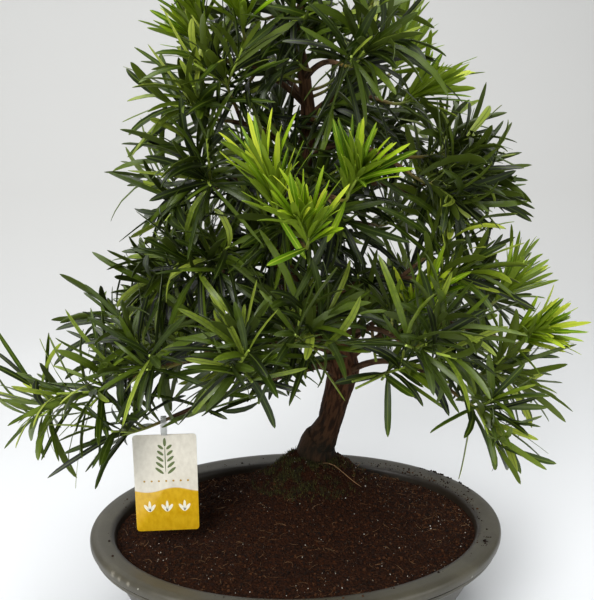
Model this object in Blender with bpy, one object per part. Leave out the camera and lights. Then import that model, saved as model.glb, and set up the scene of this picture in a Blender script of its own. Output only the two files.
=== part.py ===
"""A Buddhist pine (yew plum pine) bonsai in an oval stoneware pot, modelled in metres with +Z up.

The pot's middle is the design centre: the soil fills the pot, the trunk stands in a plain hole in the soil,
and each leafy twig is a solid of its own that butts against the end of the wood that carries it.
"""

import math
import random

import bmesh
import bpy
import numpy as np
from mathutils import Matrix, Vector

UP = Vector((0, 0, 1))
GAP = 0.00035  # kept between two solids that touch on the real plant

# Pot: an oval with a broad rolled lip. Each profile row is (inset from the widest oval, height).
POT_HALF_LENGTH = 0.187
POT_HALF_WIDTH = 0.140
POT_SIDES = 36
FLOOR_TOP = 0.020
POT_OUTSIDE = (
    (0.046, 0.012),
    (0.038, 0.019),
    (0.028, 0.038),
    (0.0195, 0.058),
    (0.0150, 0.073),
    (0.0030, 0.0765),
    (0.0000, 0.0805),
    (0.0000, 0.0855),
    (0.0035, 0.0895),
    (0.0090, 0.0900),
    (0.0200, 0.0880),
)
POT_INSIDE = ((0.0225, 0.0840), (0.0270, 0.0560), (0.0350, 0.0340), (0.0480, FLOOR_TOP))
FOOT_OUTER_INSET = 0.050
FOOT_INNER_INSET = 0.064
FOOT_TOP = 0.0135
FOOT_GAP_X = 0.050  # half width of the gaps between the feet, at the long sides
FOOT_GAP_Y = 0.024  # and at the two ends
DRAIN_HOLE_RADIUS = 0.007
DRAIN_HOLE_X = 0.055

# Squares of plastic mesh that keep the soil out of the drain holes
MESH_SIDE = 0.026
MESH_THICKNESS = 0.0012
MESH_BARS = 3

# Soil: level near the lip, heaped round the trunk, which stands towards the back
SOIL_EDGE_Z = 0.0805
SOIL_HEAP = 0.060
SOIL_HEAP_POWER = 2.6
SOIL_RINGS = (0.80, 0.58, 0.40, 0.26, 0.16)
TRUNK_FOOT = Vector((0.025, 0.071, 0.0))
ROOT_DEPTH_Z = 0.052
ROOT_RADIUS = 0.0172
ROOT_SIDES = 12

# Trunk: centre line and radius from the soil to the crown, an S curve that leans right, left and back
TRUNK = (
    ((0.025, 0.071, 0.124), 0.0170),
    ((0.030, 0.070, 0.138), 0.0146),
    ((0.037, 0.068, 0.156), 0.0114),
    ((0.042, 0.066, 0.178), 0.0122),
    ((0.047, 0.063, 0.200), 0.0134),
    ((0.049, 0.061, 0.214), 0.0150),
    ((0.042, 0.055, 0.238), 0.0122),
    ((0.022, 0.048, 0.268), 0.0110),
    ((0.000, 0.041, 0.298), 0.0102),
    ((-0.012, 0.036, 0.330), 0.0094),
    ((-0.006, 0.031, 0.366), 0.0084),
    ((0.004, 0.027, 0.402), 0.0074),
    ((0.011, 0.023, 0.440), 0.0064),
    ((0.008, 0.019, 0.480), 0.0052),
    ((0.002, 0.015, 0.516), 0.0042),
    ((0.006, 0.009, 0.552), 0.0030),
    ((0.009, 0.005, 0.585), 0.0019),
)

# Branches: the height at which each leaves the trunk, where its wood ends, how far its middle arches up,
# how many leafy twigs it carries, how much those turn up to the light, and whether these are old,
# this summer's or new.
BRANCHES = {
    "low_left": (0.210, (-0.176, -0.003, 0.222), 0.024, 3, 0.15, "mid"),
    "label_branch": (0.222, (-0.110, -0.027, 0.206), 0.005, 1, 0.10, "old"),
    "low_front": (0.236, (-0.036, -0.075, 0.272), 0.012, 2, 0.45, "old"),
    "low_front_left": (0.230, (-0.092, -0.039, 0.262), 0.014, 1, 0.40, "old"),
    "low_right": (0.206, (0.124, -0.055, 0.234), 0.020, 3, 0.12, "mid"),
    "right": (0.218, (0.154, -0.021, 0.274), 0.022, 3, 0.50, "new"),
    "low_front_right": (0.242, (0.076, -0.075, 0.286), 0.012, 1, 0.40, "old"),
    "mid_left": (0.286, (-0.070, 0.011, 0.318), 0.014, 2, 0.50, "old"),
    "mid_right": (0.276, (0.098, -0.023, 0.322), 0.012, 2, 0.60, "mid"),
    "front_low": (0.330, (-0.003, -0.089, 0.368), 0.008, 1, 1.50, "new"),
    "front_left": (0.362, (-0.018, -0.055, 0.388), 0.008, 1, 1.60, "new"),
    "front_right": (0.366, (0.024, -0.063, 0.398), 0.008, 1, 1.60, "new"),
    "upper_left": (0.380, (-0.056, 0.027, 0.396), 0.012, 2, 0.30, "old"),
    "upper_left_front": (0.412, (-0.052, -0.001, 0.450), 0.008, 2, 0.80, "mid"),
    "upper_right": (0.366, (0.108, 0.013, 0.384), 0.020, 2, 0.20, "old"),
    "upper_right_front": (0.418, (0.086, -0.009, 0.412), 0.014, 2, 0.40, "old"),
    "top_left": (0.460, (-0.044, 0.003, 0.494), 0.006, 2, 0.60, "new"),
    "top_right": (0.450, (0.062, 0.007, 0.468), 0.010, 2, 0.70, "new"),
    "top_front": (0.482, (0.028, -0.043, 0.496), 0.006, 1, 0.60, "old"),
    "low_back_left": (0.224, (-0.086, 0.129, 0.238), 0.022, 2, 0.30, "old"),
    "low_back": (0.250, (0.034, 0.153, 0.240), 0.018, 1, 0.30, "old"),
    "low_back_right": (0.228, (0.136, 0.115, 0.240), 0.020, 2, 0.30, "mid"),
    "far_left": (0.262, (-0.116, 0.061, 0.262), 0.016, 1, 0.30, "old"),
    "far_right": (0.258, (0.124, 0.047, 0.290), 0.014, 1, 0.40, "old"),
    "mid_back_left": (0.316, (-0.056, 0.103, 0.332), 0.012, 1, 0.40, "old"),
    "mid_back_right": (0.330, (0.078, 0.111, 0.342), 0.012, 1, 0.50, "mid"),
    "upper_back": (0.386, (-0.026, 0.107, 0.402), 0.010, 1, 0.50, "old"),
    "upper_back_right": (0.410, (0.062, 0.087, 0.424), 0.008, 1, 0.60, "old"),
    "top_back": (0.462, (-0.018, 0.071, 0.488), 0.006, 1, 0.70, "mid"),
    "crown_left": (0.520, (-0.034, 0.005, 0.544), 0.004, 1, 0.90, "old"),
    "crown_right": (0.512, (0.032, 0.003, 0.530), 0.004, 1, 0.90, "mid"),
}
CROWN_TONE = "old"
BRANCH_SIDES = 5
BRANCH_STATIONS = 5
BRANCH_END_RADIUS = 0.0017
SPUR_SIDES = 4
SPUR_LENGTH = 0.016
SPUR_RADIUS = 0.0016
SPUR_FIRST, SPUR_LAST = 0.50, 0.86  # where along a branch its side twigs leave

# Leafy twigs: a stem with a side shoot, and strap leaves set round both in the golden angle
STEM_LENGTH = 0.042
STEM_RADII = (0.0015, 0.0015, 0.00135)
SIDE_SHOOT_AT = 0.30
SIDE_SHOOT_LENGTH = 0.030
SIDE_SHOOT_RADII = (0.00135, 0.00128)
SIDE_SHOOT_CLEAR_RADIUS = 0.0012
SIDE_SHOOT_OPENING = {"old": 54, "mid": 54, "new": 34}  # degrees between a side shoot and its stem
GOLDEN_ANGLE = math.radians(137.5)
LEAVES = {"old": (4, 3), "mid": (4, 3), "new": (5, 2)}  # on the stem, and on its side shoot
LEAF_LENGTH = {"old": 0.062, "mid": 0.060, "new": 0.054}
LEAF_WIDTH = {"old": 0.0068, "mid": 0.0066, "new": 0.0056}
LEAF_THICKNESS = 0.0009
# share of a leaf's length, share of its width; the tip is a point
LEAF_STATIONS = ((0.0, 0.19), (0.28, 0.90), (0.78, 0.92))
LEAF_ROLL = 0.8  # radians that a leaf may be turned about its midrib, either way
OPENING_AT_TIP = {"old": 22, "mid": 20, "new": 10}  # degrees between a leaf and its stem
OPENING_AT_FOOT = {"old": 80, "mid": 72, "new": 38}
DROOP = {"old": 0.60, "mid": 0.45, "new": 0.18}  # radians that a leaf bends over its length
LOWEST_LEAF_Z = 0.110
TRIES = 24
CLEARANCE = 0.0010
SEED = 11

# Care label: a plastic card that hangs by its own strap from a leafy twig
LABEL_SIZE = Vector((0.054, 0.0008, 0.091))
LABEL_CORNER = 0.003
LABEL_STRAP = Vector((0.0045, 0.0010, 0.0))  # width and thickness
LABEL_LOOP_HALF = Vector((0.0, 0.0062, 0.0075))  # half sizes of the strap's loop, inside
LABEL_LOOP_SIDES = 10
LABEL_LOOP_Y = 0.006
LABEL_LOOP_ABOVE = 0.0029  # from the twig's middle to the loop's top
LABEL_TWIG = "label_branch_1"
LABEL_STRAP_REACH = 0.006  # from the twig's foot to the middle of the strap
LABEL_IN_SIGHT = Vector((0.08, -1.0, 0.50))  # the way a reader looks at it from, kept free of leaves
LABEL_SIGHT_DEPTH = 0.090

COLOURS = {
    "pot": ((0.13, 0.13, 0.12), 0.45),
    "soil": ((0.045, 0.022, 0.014), 0.95),
    "wood": ((0.16, 0.085, 0.055), 0.9),
    "old": ((0.035, 0.09, 0.02), 0.42),
    "mid": ((0.10, 0.20, 0.025), 0.42),
    "new": ((0.27, 0.42, 0.03), 0.42),
    "mesh": ((0.02, 0.02, 0.02), 0.6),
    "label": ((0.75, 0.50, 0.06), 0.4),
}


def clear_scene():
    for obj in list(bpy.data.objects):
        bpy.data.objects.remove(obj)


def finish_of(name):
    found = bpy.data.materials.get(name)
    if found:
        return found
    colour, roughness = COLOURS[name]
    material = bpy.data.materials.new(name)
    material.use_nodes = True
    shader = material.node_tree.nodes["Principled BSDF"]
    shader.inputs["Base Color"].default_value = (*colour, 1)
    shader.inputs["Roughness"].default_value = roughness
    return material


def object_from(bm, name, finish):
    """The bmesh as a named object in the scene, with its faces pointing out."""
    bmesh.ops.recalc_face_normals(bm, faces=bm.faces)
    mesh = bpy.data.meshes.new(name)
    bm.to_mesh(mesh)
    bm.free()
    mesh.materials.append(finish_of(finish))
    obj = bpy.data.objects.new(name, mesh)
    bpy.context.scene.collection.objects.link(obj)
    return obj


def boolean(obj, others, operation):
    """Joins or cuts obj with the other objects in one Boolean, applies it and removes them."""
    tools = bpy.data.collections.new(obj.name + "_tools")
    bpy.context.scene.collection.children.link(tools)
    for other in others:
        bpy.context.scene.collection.objects.unlink(other)
        tools.objects.link(other)
    modifier = obj.modifiers.new(operation, "BOOLEAN")
    modifier.operation = operation
    modifier.operand_type = "COLLECTION"
    modifier.collection = tools
    modifier.solver = "EXACT"
    bpy.context.view_layer.update()
    graph = bpy.context.evaluated_depsgraph_get()
    made = bpy.data.meshes.new_from_object(obj.evaluated_get(graph))
    obj.modifiers.clear()
    old = obj.data
    obj.data = made
    bpy.data.meshes.remove(old)
    for other in others:
        mesh = other.data
        bpy.data.objects.remove(other)
        bpy.data.meshes.remove(mesh)
    bpy.data.collections.remove(tools)
    return obj


def extrude_through(bm, sides, places):
    """A closed solid: a capped ring of unit radius at the first place, extruded to each later one."""
    made = bmesh.ops.create_circle(bm, cap_ends=True, segments=sides, radius=1.0, matrix=places[0])
    face = made["verts"][0].link_faces[0]
    base = face
    for before, after in zip(places, places[1:]):
        grown = bmesh.ops.extrude_face_region(bm, geom=[face])["geom"]
        if face != base:
            bmesh.ops.delete(bm, geom=[face], context="FACES_ONLY")
        face = next(item for item in grown if isinstance(item, bmesh.types.BMFace))
        bmesh.ops.transform(bm, matrix=after @ before.inverted(), verts=face.verts)
    return face


def oval(inset, z):
    """The place of a ring on the pot's oval, that far inside its widest outline."""
    size = (POT_HALF_LENGTH - inset, POT_HALF_WIDTH - inset, 1, 1)
    return Matrix.Translation((0, 0, z)) @ Matrix.Diagonal(size)


def tube_places(points, radii):
    """Ring places along a path, turned as little as possible from one to the next."""
    places = []
    turn = None
    for k, point in enumerate(points):
        ahead = points[min(k + 1, len(points) - 1)] - points[max(k - 1, 0)]
        if turn is None:
            turn = ahead.to_track_quat("Z", "Y")
        else:
            turn = (turn @ UP).rotation_difference(ahead) @ turn
        size = Matrix.Diagonal((radii[k], radii[k], 1, 1))
        places.append(Matrix.Translation(point) @ turn.to_matrix().to_4x4() @ size)
    return places


def tube(name, points, radii, sides, finish):
    bm = bmesh.new()
    extrude_through(bm, sides, tube_places(points, radii))
    return object_from(bm, name, finish)


def box(name, size, centre, finish="pot"):
    bm = bmesh.new()
    place = Matrix.Translation(centre) @ Matrix.Diagonal((*size, 1))
    bmesh.ops.create_cube(bm, size=1.0, matrix=place)
    return object_from(bm, name, finish)


def cylinder(name, radius, low, high, x, y, sides, finish="pot"):
    places = [Matrix.Translation((x, y, z)) @ Matrix.Diagonal((radius, radius, 1, 1)) for z in (low, high)]
    bm = bmesh.new()
    extrude_through(bm, sides, places)
    return object_from(bm, name, finish)


def oval_block(name, inset, low, high):
    bm = bmesh.new()
    extrude_through(bm, POT_SIDES, [oval(inset, low), oval(inset, high)])
    return object_from(bm, name, "pot")


def pot_feet():
    """An oval foot ring, cut into four curved feet."""
    reach = 2 * POT_HALF_LENGTH
    ring = oval_block("feet", FOOT_OUTER_INSET, 0, FOOT_TOP)
    cutters = [
        oval_block("feet_inside", FOOT_INNER_INSET, -FOOT_TOP, 2 * FOOT_TOP),
        box("gap_x", (2 * FOOT_GAP_X, reach, 4 * FOOT_TOP), (0, 0, 0)),
        box("gap_y", (reach, 2 * FOOT_GAP_Y, 4 * FOOT_TOP), (0, 0, 0)),
    ]
    return boolean(ring, cutters, "DIFFERENCE")


def build_pot():
    bm = bmesh.new()
    extrude_through(bm, POT_SIDES, [oval(inset, z) for inset, z in POT_OUTSIDE + POT_INSIDE])
    pot = object_from(bm, "pot", "pot")
    holes = [
        cylinder("drain", DRAIN_HOLE_RADIUS, 0, 2 * FLOOR_TOP, side * DRAIN_HOLE_X, 0, ROOT_SIDES)
        for side in (-1, 1)
    ]
    boolean(pot, [pot_feet()], "UNION")
    return boolean(pot, holes, "DIFFERENCE")


def build_drain_mesh(name, x):
    """A square of plastic mesh: a plate with rows of square holes."""
    z = FLOOR_TOP + GAP + MESH_THICKNESS / 2
    plate = box(name, (MESH_SIDE, MESH_SIDE, MESH_THICKNESS), (x, 0, z), "mesh")
    pitch = MESH_SIDE / (MESH_BARS + 0.5)
    middle = (MESH_BARS - 1) / 2
    holes = [
        box("hole", (pitch * 0.6, pitch * 0.6, 0.01), (x + (i - middle) * pitch, (j - middle) * pitch, z))
        for i in range(MESH_BARS)
        for j in range(MESH_BARS)
    ]
    return boolean(plate, holes, "DIFFERENCE")


def build_soil():
    """Fills the pot to its wall, less a hair of clearance, and rises to the foot of the trunk."""
    wall = [(inset + GAP, z) for inset, z in reversed(POT_INSIDE)]
    wall[0] = (wall[0][0], FLOOR_TOP + GAP)
    places = [oval(inset, z) for inset, z in wall[:-1]]
    edge_inset = POT_INSIDE[0][0] + 2 * GAP
    places.append(oval(edge_inset, SOIL_EDGE_Z))
    for share in SOIL_RINGS:
        z = SOIL_EDGE_Z + SOIL_HEAP * (1 - share) ** SOIL_HEAP_POWER
        size = ((POT_HALF_LENGTH - edge_inset) * share, (POT_HALF_WIDTH - edge_inset) * share, 1, 1)
        centre = TRUNK_FOOT * (1 - share**1.4) + Vector((0, 0, z))
        places.append(Matrix.Translation(centre) @ Matrix.Diagonal(size))
    bm = bmesh.new()
    extrude_through(bm, POT_SIDES, places)
    soil = object_from(bm, "soil", "soil")
    hole = (ROOT_RADIUS + GAP) / math.cos(math.pi / ROOT_SIDES)
    top = SOIL_EDGE_Z + 2 * SOIL_HEAP
    cutters = [cylinder("root_hole", hole, ROOT_DEPTH_Z - GAP, top, *TRUNK_FOOT.xy, ROOT_SIDES)]
    pocket = MESH_SIDE + 2 * GAP
    for side in (-1, 1):
        height = 2 * (MESH_THICKNESS + 2 * GAP)
        cutters.append(box("pocket", (pocket, pocket, height), (side * DRAIN_HOLE_X, 0, FLOOR_TOP)))
    return boolean(soil, cutters, "DIFFERENCE")


def trunk_point(height):
    """The trunk's centre line at that height."""
    for (low, _), (high, _) in zip(TRUNK, TRUNK[1:]):
        if low[2] <= height <= high[2]:
            share = (height - low[2]) / (high[2] - low[2])
            return Vector(low).lerp(Vector(high), share)
    return Vector(TRUNK[-1][0])


def arched(start, end, arch, share):
    """A point on the parabola from start to end whose middle stands that much above the straight line."""
    return start.lerp(end, share) + UP * (4 * arch * share * (1 - share))


class Crowd:
    """Balls strung along everything placed so far, so that a new stem or leaf can keep clear of it."""

    def __init__(self):
        self.centres = np.empty((0, 3))
        self.radii = np.empty(0)
        self.owners = np.empty(0, int)

    def add(self, balls, owner):
        self.centres = np.vstack([self.centres, [tuple(centre) for centre, _ in balls]])
        self.radii = np.append(self.radii, [radius for _, radius in balls])
        self.owners = np.append(self.owners, [owner] * len(balls))

    def is_clear(self, balls, owner, own_from=0):
        """Whether the balls stand clear of other owners' and, from one of them on, roughly of their own."""
        centres = np.array([tuple(centre) for centre, _ in balls])
        radii = np.array([radius for _, radius in balls])
        apart = np.linalg.norm(centres[:, None] - self.centres[None], axis=2)
        need = radii[:, None] + self.radii[None] + CLEARANCE
        own = self.owners == owner
        need[:, own] *= 0.45
        need[:own_from, own] = 0
        return bool((apart > need).all())


def balls_along(points, radii, spacing=0.004):
    balls = []
    for a, b, ra, rb in zip(points, points[1:], radii, radii[1:]):
        count = max(1, math.ceil((b - a).length / spacing))
        balls += [(a.lerp(b, k / count), ra + (rb - ra) * k / count) for k in range(count)]
    return balls + [(points[-1], radii[-1])]


def leaf_line(leaf, share):
    """A point on a leaf's midrib: an arc that starts along the leaf's direction and bends over."""
    angle = leaf["droop"] * share
    along = math.sin(angle) / leaf["droop"]
    over = (1 - math.cos(angle)) / leaf["droop"]
    return leaf["root"] + (leaf["direction"] * along + leaf["bend"] * over) * leaf["length"]


def leaf_balls(leaf):
    shares = [k / 16 for k in range(1, 17)]
    widths = [min(1, 3.4 * s, 2.6 * (1 - s) + 0.25) for s in shares]  # a little wider than the blade
    return [(leaf_line(leaf, s), leaf["width"] * w / 2) for s, w in zip(shares, widths)]


def turned(direction, opening, around):
    """A direction that opens from the given one by one angle, at another angle round it."""
    across = math.sin(opening)
    spread = Vector((across * math.cos(around), across * math.sin(around), math.cos(opening)))
    return direction.to_track_quat("Z", "Y") @ spread


def make_leaf(draw, root, axis, place, around, tone):
    """A leaf at one place on a stem: 0 at the stem's foot, where it opens wide, and 1 at its tip."""
    wide, narrow = OPENING_AT_FOOT[tone], OPENING_AT_TIP[tone]
    opening = math.radians(wide + (narrow - wide) * place + draw.uniform(-9, 9))
    direction = turned(axis, opening, around)
    sink = (direction - axis * direction.dot(axis)).normalized() - UP * 0.5
    bend = (sink - direction * sink.dot(direction)).normalized()
    return {
        "root": root,
        "direction": direction,
        "bend": bend,
        "length": LEAF_LENGTH[tone] * draw.uniform(0.82, 1.12) * (1 - 0.18 * place),
        "width": LEAF_WIDTH[tone] * draw.uniform(0.88, 1.10),
        "droop": DROOP[tone] * draw.uniform(0.3, 1.7),
        "roll": draw.uniform(-LEAF_ROLL, LEAF_ROLL),
    }


def plan_wood():
    """The trunk, branches and spurs as (points, radii, sides), and the place where each leafy twig starts."""
    draw = random.Random(SEED)
    limbs = []
    twigs = []
    for name, (height, end, arch, count, lift, tone) in BRANCHES.items():
        start = trunk_point(height)
        end = Vector(end)
        length = (end - start).length
        shares = [k / (BRANCH_STATIONS - 1) for k in range(BRANCH_STATIONS)]
        points = [arched(start, end, arch, share) for share in shares]
        foot = 0.0022 + 0.008 * length
        radii = [foot + (BRANCH_END_RADIUS - foot) * share for share in shares]
        limbs.append((points, radii, BRANCH_SIDES))
        heading = (points[-1] - points[-2]).normalized()
        twigs.append((f"{name}_1", points[-1], (heading + UP * lift).normalized(), heading, tone))
        for k in range(1, count):
            share = SPUR_LAST - (SPUR_LAST - SPUR_FIRST) * (k - 1) / max(1, count - 2)
            root = arched(start, end, arch, share)
            side = math.radians(52) * (1 if k % 2 else -1) + draw.uniform(-0.2, 0.2)
            aside = Matrix.Rotation(side, 3, "Z") @ heading
            out = (aside + UP * (0.25 + 0.6 * lift)).normalized()
            tip = root + out * SPUR_LENGTH
            limbs.append(([root, tip], [SPUR_RADIUS * 1.25, SPUR_RADIUS], SPUR_SIDES))
            twigs.append((f"{name}_{k + 1}", tip, (out + UP * 0.4 * lift).normalized(), out, tone))
    crown = Vector(TRUNK[-1][0])
    lead = (crown - Vector(TRUNK[-2][0])).normalized()
    twigs.append(("crown_1", crown, lead, lead, CROWN_TONE))
    return limbs, twigs


def stem_line(foot, heading, direction, length, stations=3):
    """A stem that leaves in one direction and turns to another, as points."""
    points = [foot]
    for k in range(1, stations):
        share = (k - 1) / (stations - 2)
        points.append(points[-1] + heading.lerp(direction, share).normalized() * (length / (stations - 1)))
    return points


def plan_twigs(limbs, places):
    """The stems and leaves of every leafy twig, each clear of the wood, the label and the other twigs."""
    draw = random.Random(SEED + 1)
    crowd = Crowd()
    trunk_points = [TRUNK_FOOT + UP * ROOT_DEPTH_Z] + [Vector(p) for p, _ in TRUNK]
    crowd.add(balls_along(trunk_points, [ROOT_RADIUS] + [r for _, r in TRUNK]), -1)
    for points, radii, _ in limbs:
        crowd.add(balls_along(points, radii), -1)
    crowd.add(label_balls(label_hang(places)), -2)
    twigs = []
    for owner, (name, foot, direction, heading, tone) in enumerate(places):
        start = foot + heading * GAP
        for _ in range(TRIES):
            main = stem_line(start, heading, direction, STEM_LENGTH * draw.uniform(0.92, 1.1))
            balls = balls_along([main[0].lerp(main[1], 0.3), *main[1:]], STEM_RADII)
            around = draw.uniform(0, 2 * math.pi)
            leave = main[1].lerp(main[2], SIDE_SHOOT_AT)
            aside = turned(direction, math.radians(SIDE_SHOOT_OPENING[tone]), around)
            side = [leave, leave + (aside + direction * 0.3 + UP * 0.15).normalized() * SIDE_SHOOT_LENGTH]
            side_balls = balls_along([side[0].lerp(side[1], 0.2), side[1]], [SIDE_SHOOT_CLEAR_RADIUS] * 2)
            if crowd.is_clear(balls + side_balls, owner):
                break
            direction = (direction + Vector([draw.uniform(-0.25, 0.25) for _ in range(3)])).normalized()
        else:
            print("no clear place for the stem of", name)
        crowd.add(balls + side_balls, owner)
        twigs.append({"name": name, "tone": tone, "main": main, "side": side, "leaves": []})
    for owner, twig in enumerate(twigs):
        for stem, count in zip((twig["main"], twig["side"]), LEAVES[twig["tone"]]):
            set_leaves(draw, crowd, owner, twig, stem, count)
    return twigs


def set_leaves(draw, crowd, owner, twig, stem, count):
    """Leaves round one stem, from about its middle to its tip, leaving out any that finds no clear place."""
    around = draw.uniform(0, 2 * math.pi)
    for k in range(count):
        place = (k + 0.5) / count
        share = 0.42 + 0.56 * place
        reach = share * (len(stem) - 1)
        part = min(int(reach), len(stem) - 2)
        root = stem[part].lerp(stem[part + 1], reach - part)
        axis = (stem[part + 1] - stem[part]).normalized()
        around += GOLDEN_ANGLE
        for _ in range(TRIES):
            leaf = make_leaf(draw, root, axis, place, around + draw.uniform(-0.5, 0.5), twig["tone"])
            balls = leaf_balls(leaf)
            lowest = min(centre.z for centre, _ in balls)
            if lowest > LOWEST_LEAF_Z and crowd.is_clear(balls, owner, own_from=2):
                crowd.add(balls, owner)
                twig["leaves"].append(leaf)
                break


def leaf_object(leaf):
    """A strap leaf: a flat three-sided blade with a raised midrib, closed to a point at its tip."""
    bm = bmesh.new()
    across = leaf["direction"].cross(leaf["bend"]).normalized()
    places = []
    for share, wide in LEAF_STATIONS + ((0.97, 0.10),):
        angle = leaf["droop"] * share
        along = leaf["direction"] * math.cos(angle) + leaf["bend"] * math.sin(angle)
        under = along.cross(across)
        turn = Matrix((across, under, along)).transposed().to_4x4()
        turn = turn @ Matrix.Rotation(leaf["roll"], 4, "Z")
        size = Matrix.Diagonal((leaf["width"] / math.sqrt(3) * wide, LEAF_THICKNESS / 1.5, 1, 1))
        places.append(Matrix.Translation(leaf_line(leaf, share)) @ turn @ size)
    end = extrude_through(bm, 3, places)
    bmesh.ops.pointmerge(bm, verts=end.verts, merge_co=leaf_line(leaf, 1.0))
    return object_from(bm, "leaf", "old")


def build_twig(twig):
    """One leafy twig: its stem, side shoot and leaves, joined in one solid."""
    obj = tube("twig_" + twig["name"], twig["main"], STEM_RADII, SPUR_SIDES, twig["tone"])
    side = tube("side", twig["side"], SIDE_SHOOT_RADII, SPUR_SIDES, "old")
    return boolean(obj, [side] + [leaf_object(leaf) for leaf in twig["leaves"]], "UNION")


def build_trunk(limbs):
    """The root, trunk, branches and spurs as the one piece of wood that they grew as."""
    points = [TRUNK_FOOT + UP * ROOT_DEPTH_Z] + [Vector(p) for p, _ in TRUNK]
    radii = [ROOT_RADIUS * 0.999] + [r for _, r in TRUNK]
    trunk = tube("trunk", points, radii, ROOT_SIDES, "wood")
    others = [tube("limb", *limb, "wood") for limb in limbs]
    return boolean(trunk, others, "UNION")


def label_hang(places):
    """The point on a leafy twig's bare foot that the label's strap goes over."""
    foot, heading = next((place[1], place[3]) for place in places if place[0] == LABEL_TWIG)
    return foot + heading * LABEL_STRAP_REACH


def label_top(hang):
    """The middle of the card's top edge."""
    return hang + UP * (LABEL_LOOP_ABOVE - 2 * LABEL_LOOP_HALF.z - LABEL_STRAP.y / 2)


def label_balls(hang):
    """Balls over the strap, the card and the way it is seen, to keep twigs and leaves off them."""
    top = label_top(hang)
    step = LABEL_SIZE.x / 6
    columns = [(k - 2.5) * step for k in range(6)]
    rows = [(k + 0.5) * step for k in range(10)]
    layers = [LABEL_IN_SIGHT * (k * step) for k in range(round(LABEL_SIGHT_DEPTH / step))]
    spots = [top + layer + Vector((x, 0, -z)) for x in columns for layer in layers for z in rows]
    card = [(spot, step * 0.55) for spot in spots]
    radius = LABEL_STRAP.x * 0.4
    loop = [(hang + Vector((0, y, -z)), radius) for y in (-LABEL_LOOP_Y, LABEL_LOOP_Y) for z in (0, 0.004)]
    return card + loop


def build_label(hang):
    """The card with rounded corners and, in one piece with it, the strap that loops over the twig."""
    top = label_top(hang)
    bm = bmesh.new()
    place = Matrix.Translation(top - UP * LABEL_SIZE.z / 2) @ Matrix.Diagonal((*LABEL_SIZE, 1))
    bmesh.ops.create_cube(bm, size=1.0, matrix=place)
    corners = [e for e in bm.edges if abs((e.verts[0].co - e.verts[1].co).y) > LABEL_SIZE.y / 2]
    rounding = {"affect": "EDGES", "segments": 2, "profile": 0.5, "material": -1}
    bmesh.ops.bevel(bm, geom=corners, offset=LABEL_CORNER, **rounding)
    card = object_from(bm, "label", "label")
    middle = hang + UP * (LABEL_LOOP_ABOVE - LABEL_LOOP_HALF.z)
    rings = []
    bands = (("strap", LABEL_STRAP.y, LABEL_STRAP.x), ("strap_inside", 0, 2 * LABEL_STRAP.x))
    for name, grow, width in bands:
        size = Matrix.Diagonal((LABEL_LOOP_HALF.z + grow, LABEL_LOOP_HALF.y + grow, 1, 1))
        turn = Matrix.Rotation(math.pi / 2, 4, "Y")
        ends = [middle + Vector((side * width / 2, 0, 0)) for side in (-1, 1)]
        bm = bmesh.new()
        extrude_through(bm, LABEL_LOOP_SIDES, [Matrix.Translation(end) @ turn @ size for end in ends])
        rings.append(object_from(bm, name, "label"))
    strap = boolean(rings[0], [rings[1]], "DIFFERENCE")
    return boolean(card, [strap], "UNION")


def centre_on_base(objects):
    """Parents everything to one empty, set so that the middle of the whole plant's base is the origin."""
    corners = [v.co for obj in objects for v in obj.data.vertices]
    low = Vector([min(c[k] for c in corners) for k in range(3)])
    high = Vector([max(c[k] for c in corners) for k in range(3)])
    origin = bpy.data.objects.new("bonsai", None)
    bpy.context.scene.collection.objects.link(origin)
    for obj in objects:
        obj.parent = origin
    origin.location = (-(low.x + high.x) / 2, -(low.y + high.y) / 2, -low.z)
    print("design centre is at", tuple(round(v, 5) for v in origin.location))


def main():
    clear_scene()
    limbs, places = plan_wood()
    twigs = plan_twigs(limbs, places)
    made = [build_pot(), build_soil(), build_trunk(limbs)]
    for side, x in (("left", -DRAIN_HOLE_X), ("right", DRAIN_HOLE_X)):
        made.append(build_drain_mesh("drain_mesh_" + side, x))
    made += [build_twig(twig) for twig in twigs]
    made.append(build_label(label_hang(places)))
    for obj in made:
        obj.data.set_sharp_from_angle(angle=math.radians(35))
    centre_on_base(made)
    print("leaves", sum(len(t["leaves"]) for t in twigs), "twigs", len(twigs))


main()
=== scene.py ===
import bmesh
import bpy
import math
import random
from functools import partial

import numpy as np
from mathutils import Matrix, Vector, geometry, noise


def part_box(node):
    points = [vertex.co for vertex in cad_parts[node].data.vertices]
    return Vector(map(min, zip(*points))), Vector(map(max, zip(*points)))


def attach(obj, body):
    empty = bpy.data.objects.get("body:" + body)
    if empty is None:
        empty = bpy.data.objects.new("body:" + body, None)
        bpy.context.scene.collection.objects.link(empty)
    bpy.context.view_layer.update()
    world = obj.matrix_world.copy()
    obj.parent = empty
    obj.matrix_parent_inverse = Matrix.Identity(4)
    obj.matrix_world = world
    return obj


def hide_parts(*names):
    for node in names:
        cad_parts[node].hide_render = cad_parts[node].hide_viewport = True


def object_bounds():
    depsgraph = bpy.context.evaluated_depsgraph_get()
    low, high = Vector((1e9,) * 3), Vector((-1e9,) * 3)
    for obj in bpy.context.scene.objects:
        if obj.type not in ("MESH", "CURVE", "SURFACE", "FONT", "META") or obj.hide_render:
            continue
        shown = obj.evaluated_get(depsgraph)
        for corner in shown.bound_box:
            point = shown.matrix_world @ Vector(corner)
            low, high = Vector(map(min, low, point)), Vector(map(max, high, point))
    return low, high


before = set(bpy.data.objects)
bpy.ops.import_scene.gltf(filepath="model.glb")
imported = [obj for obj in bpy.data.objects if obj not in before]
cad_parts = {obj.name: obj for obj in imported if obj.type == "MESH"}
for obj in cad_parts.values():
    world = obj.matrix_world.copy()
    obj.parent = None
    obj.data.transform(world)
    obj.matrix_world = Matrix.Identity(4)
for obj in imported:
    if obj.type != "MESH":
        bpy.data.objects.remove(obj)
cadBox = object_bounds()
up = Vector((0, 0, 1))
potLow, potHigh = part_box("pot")
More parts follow.
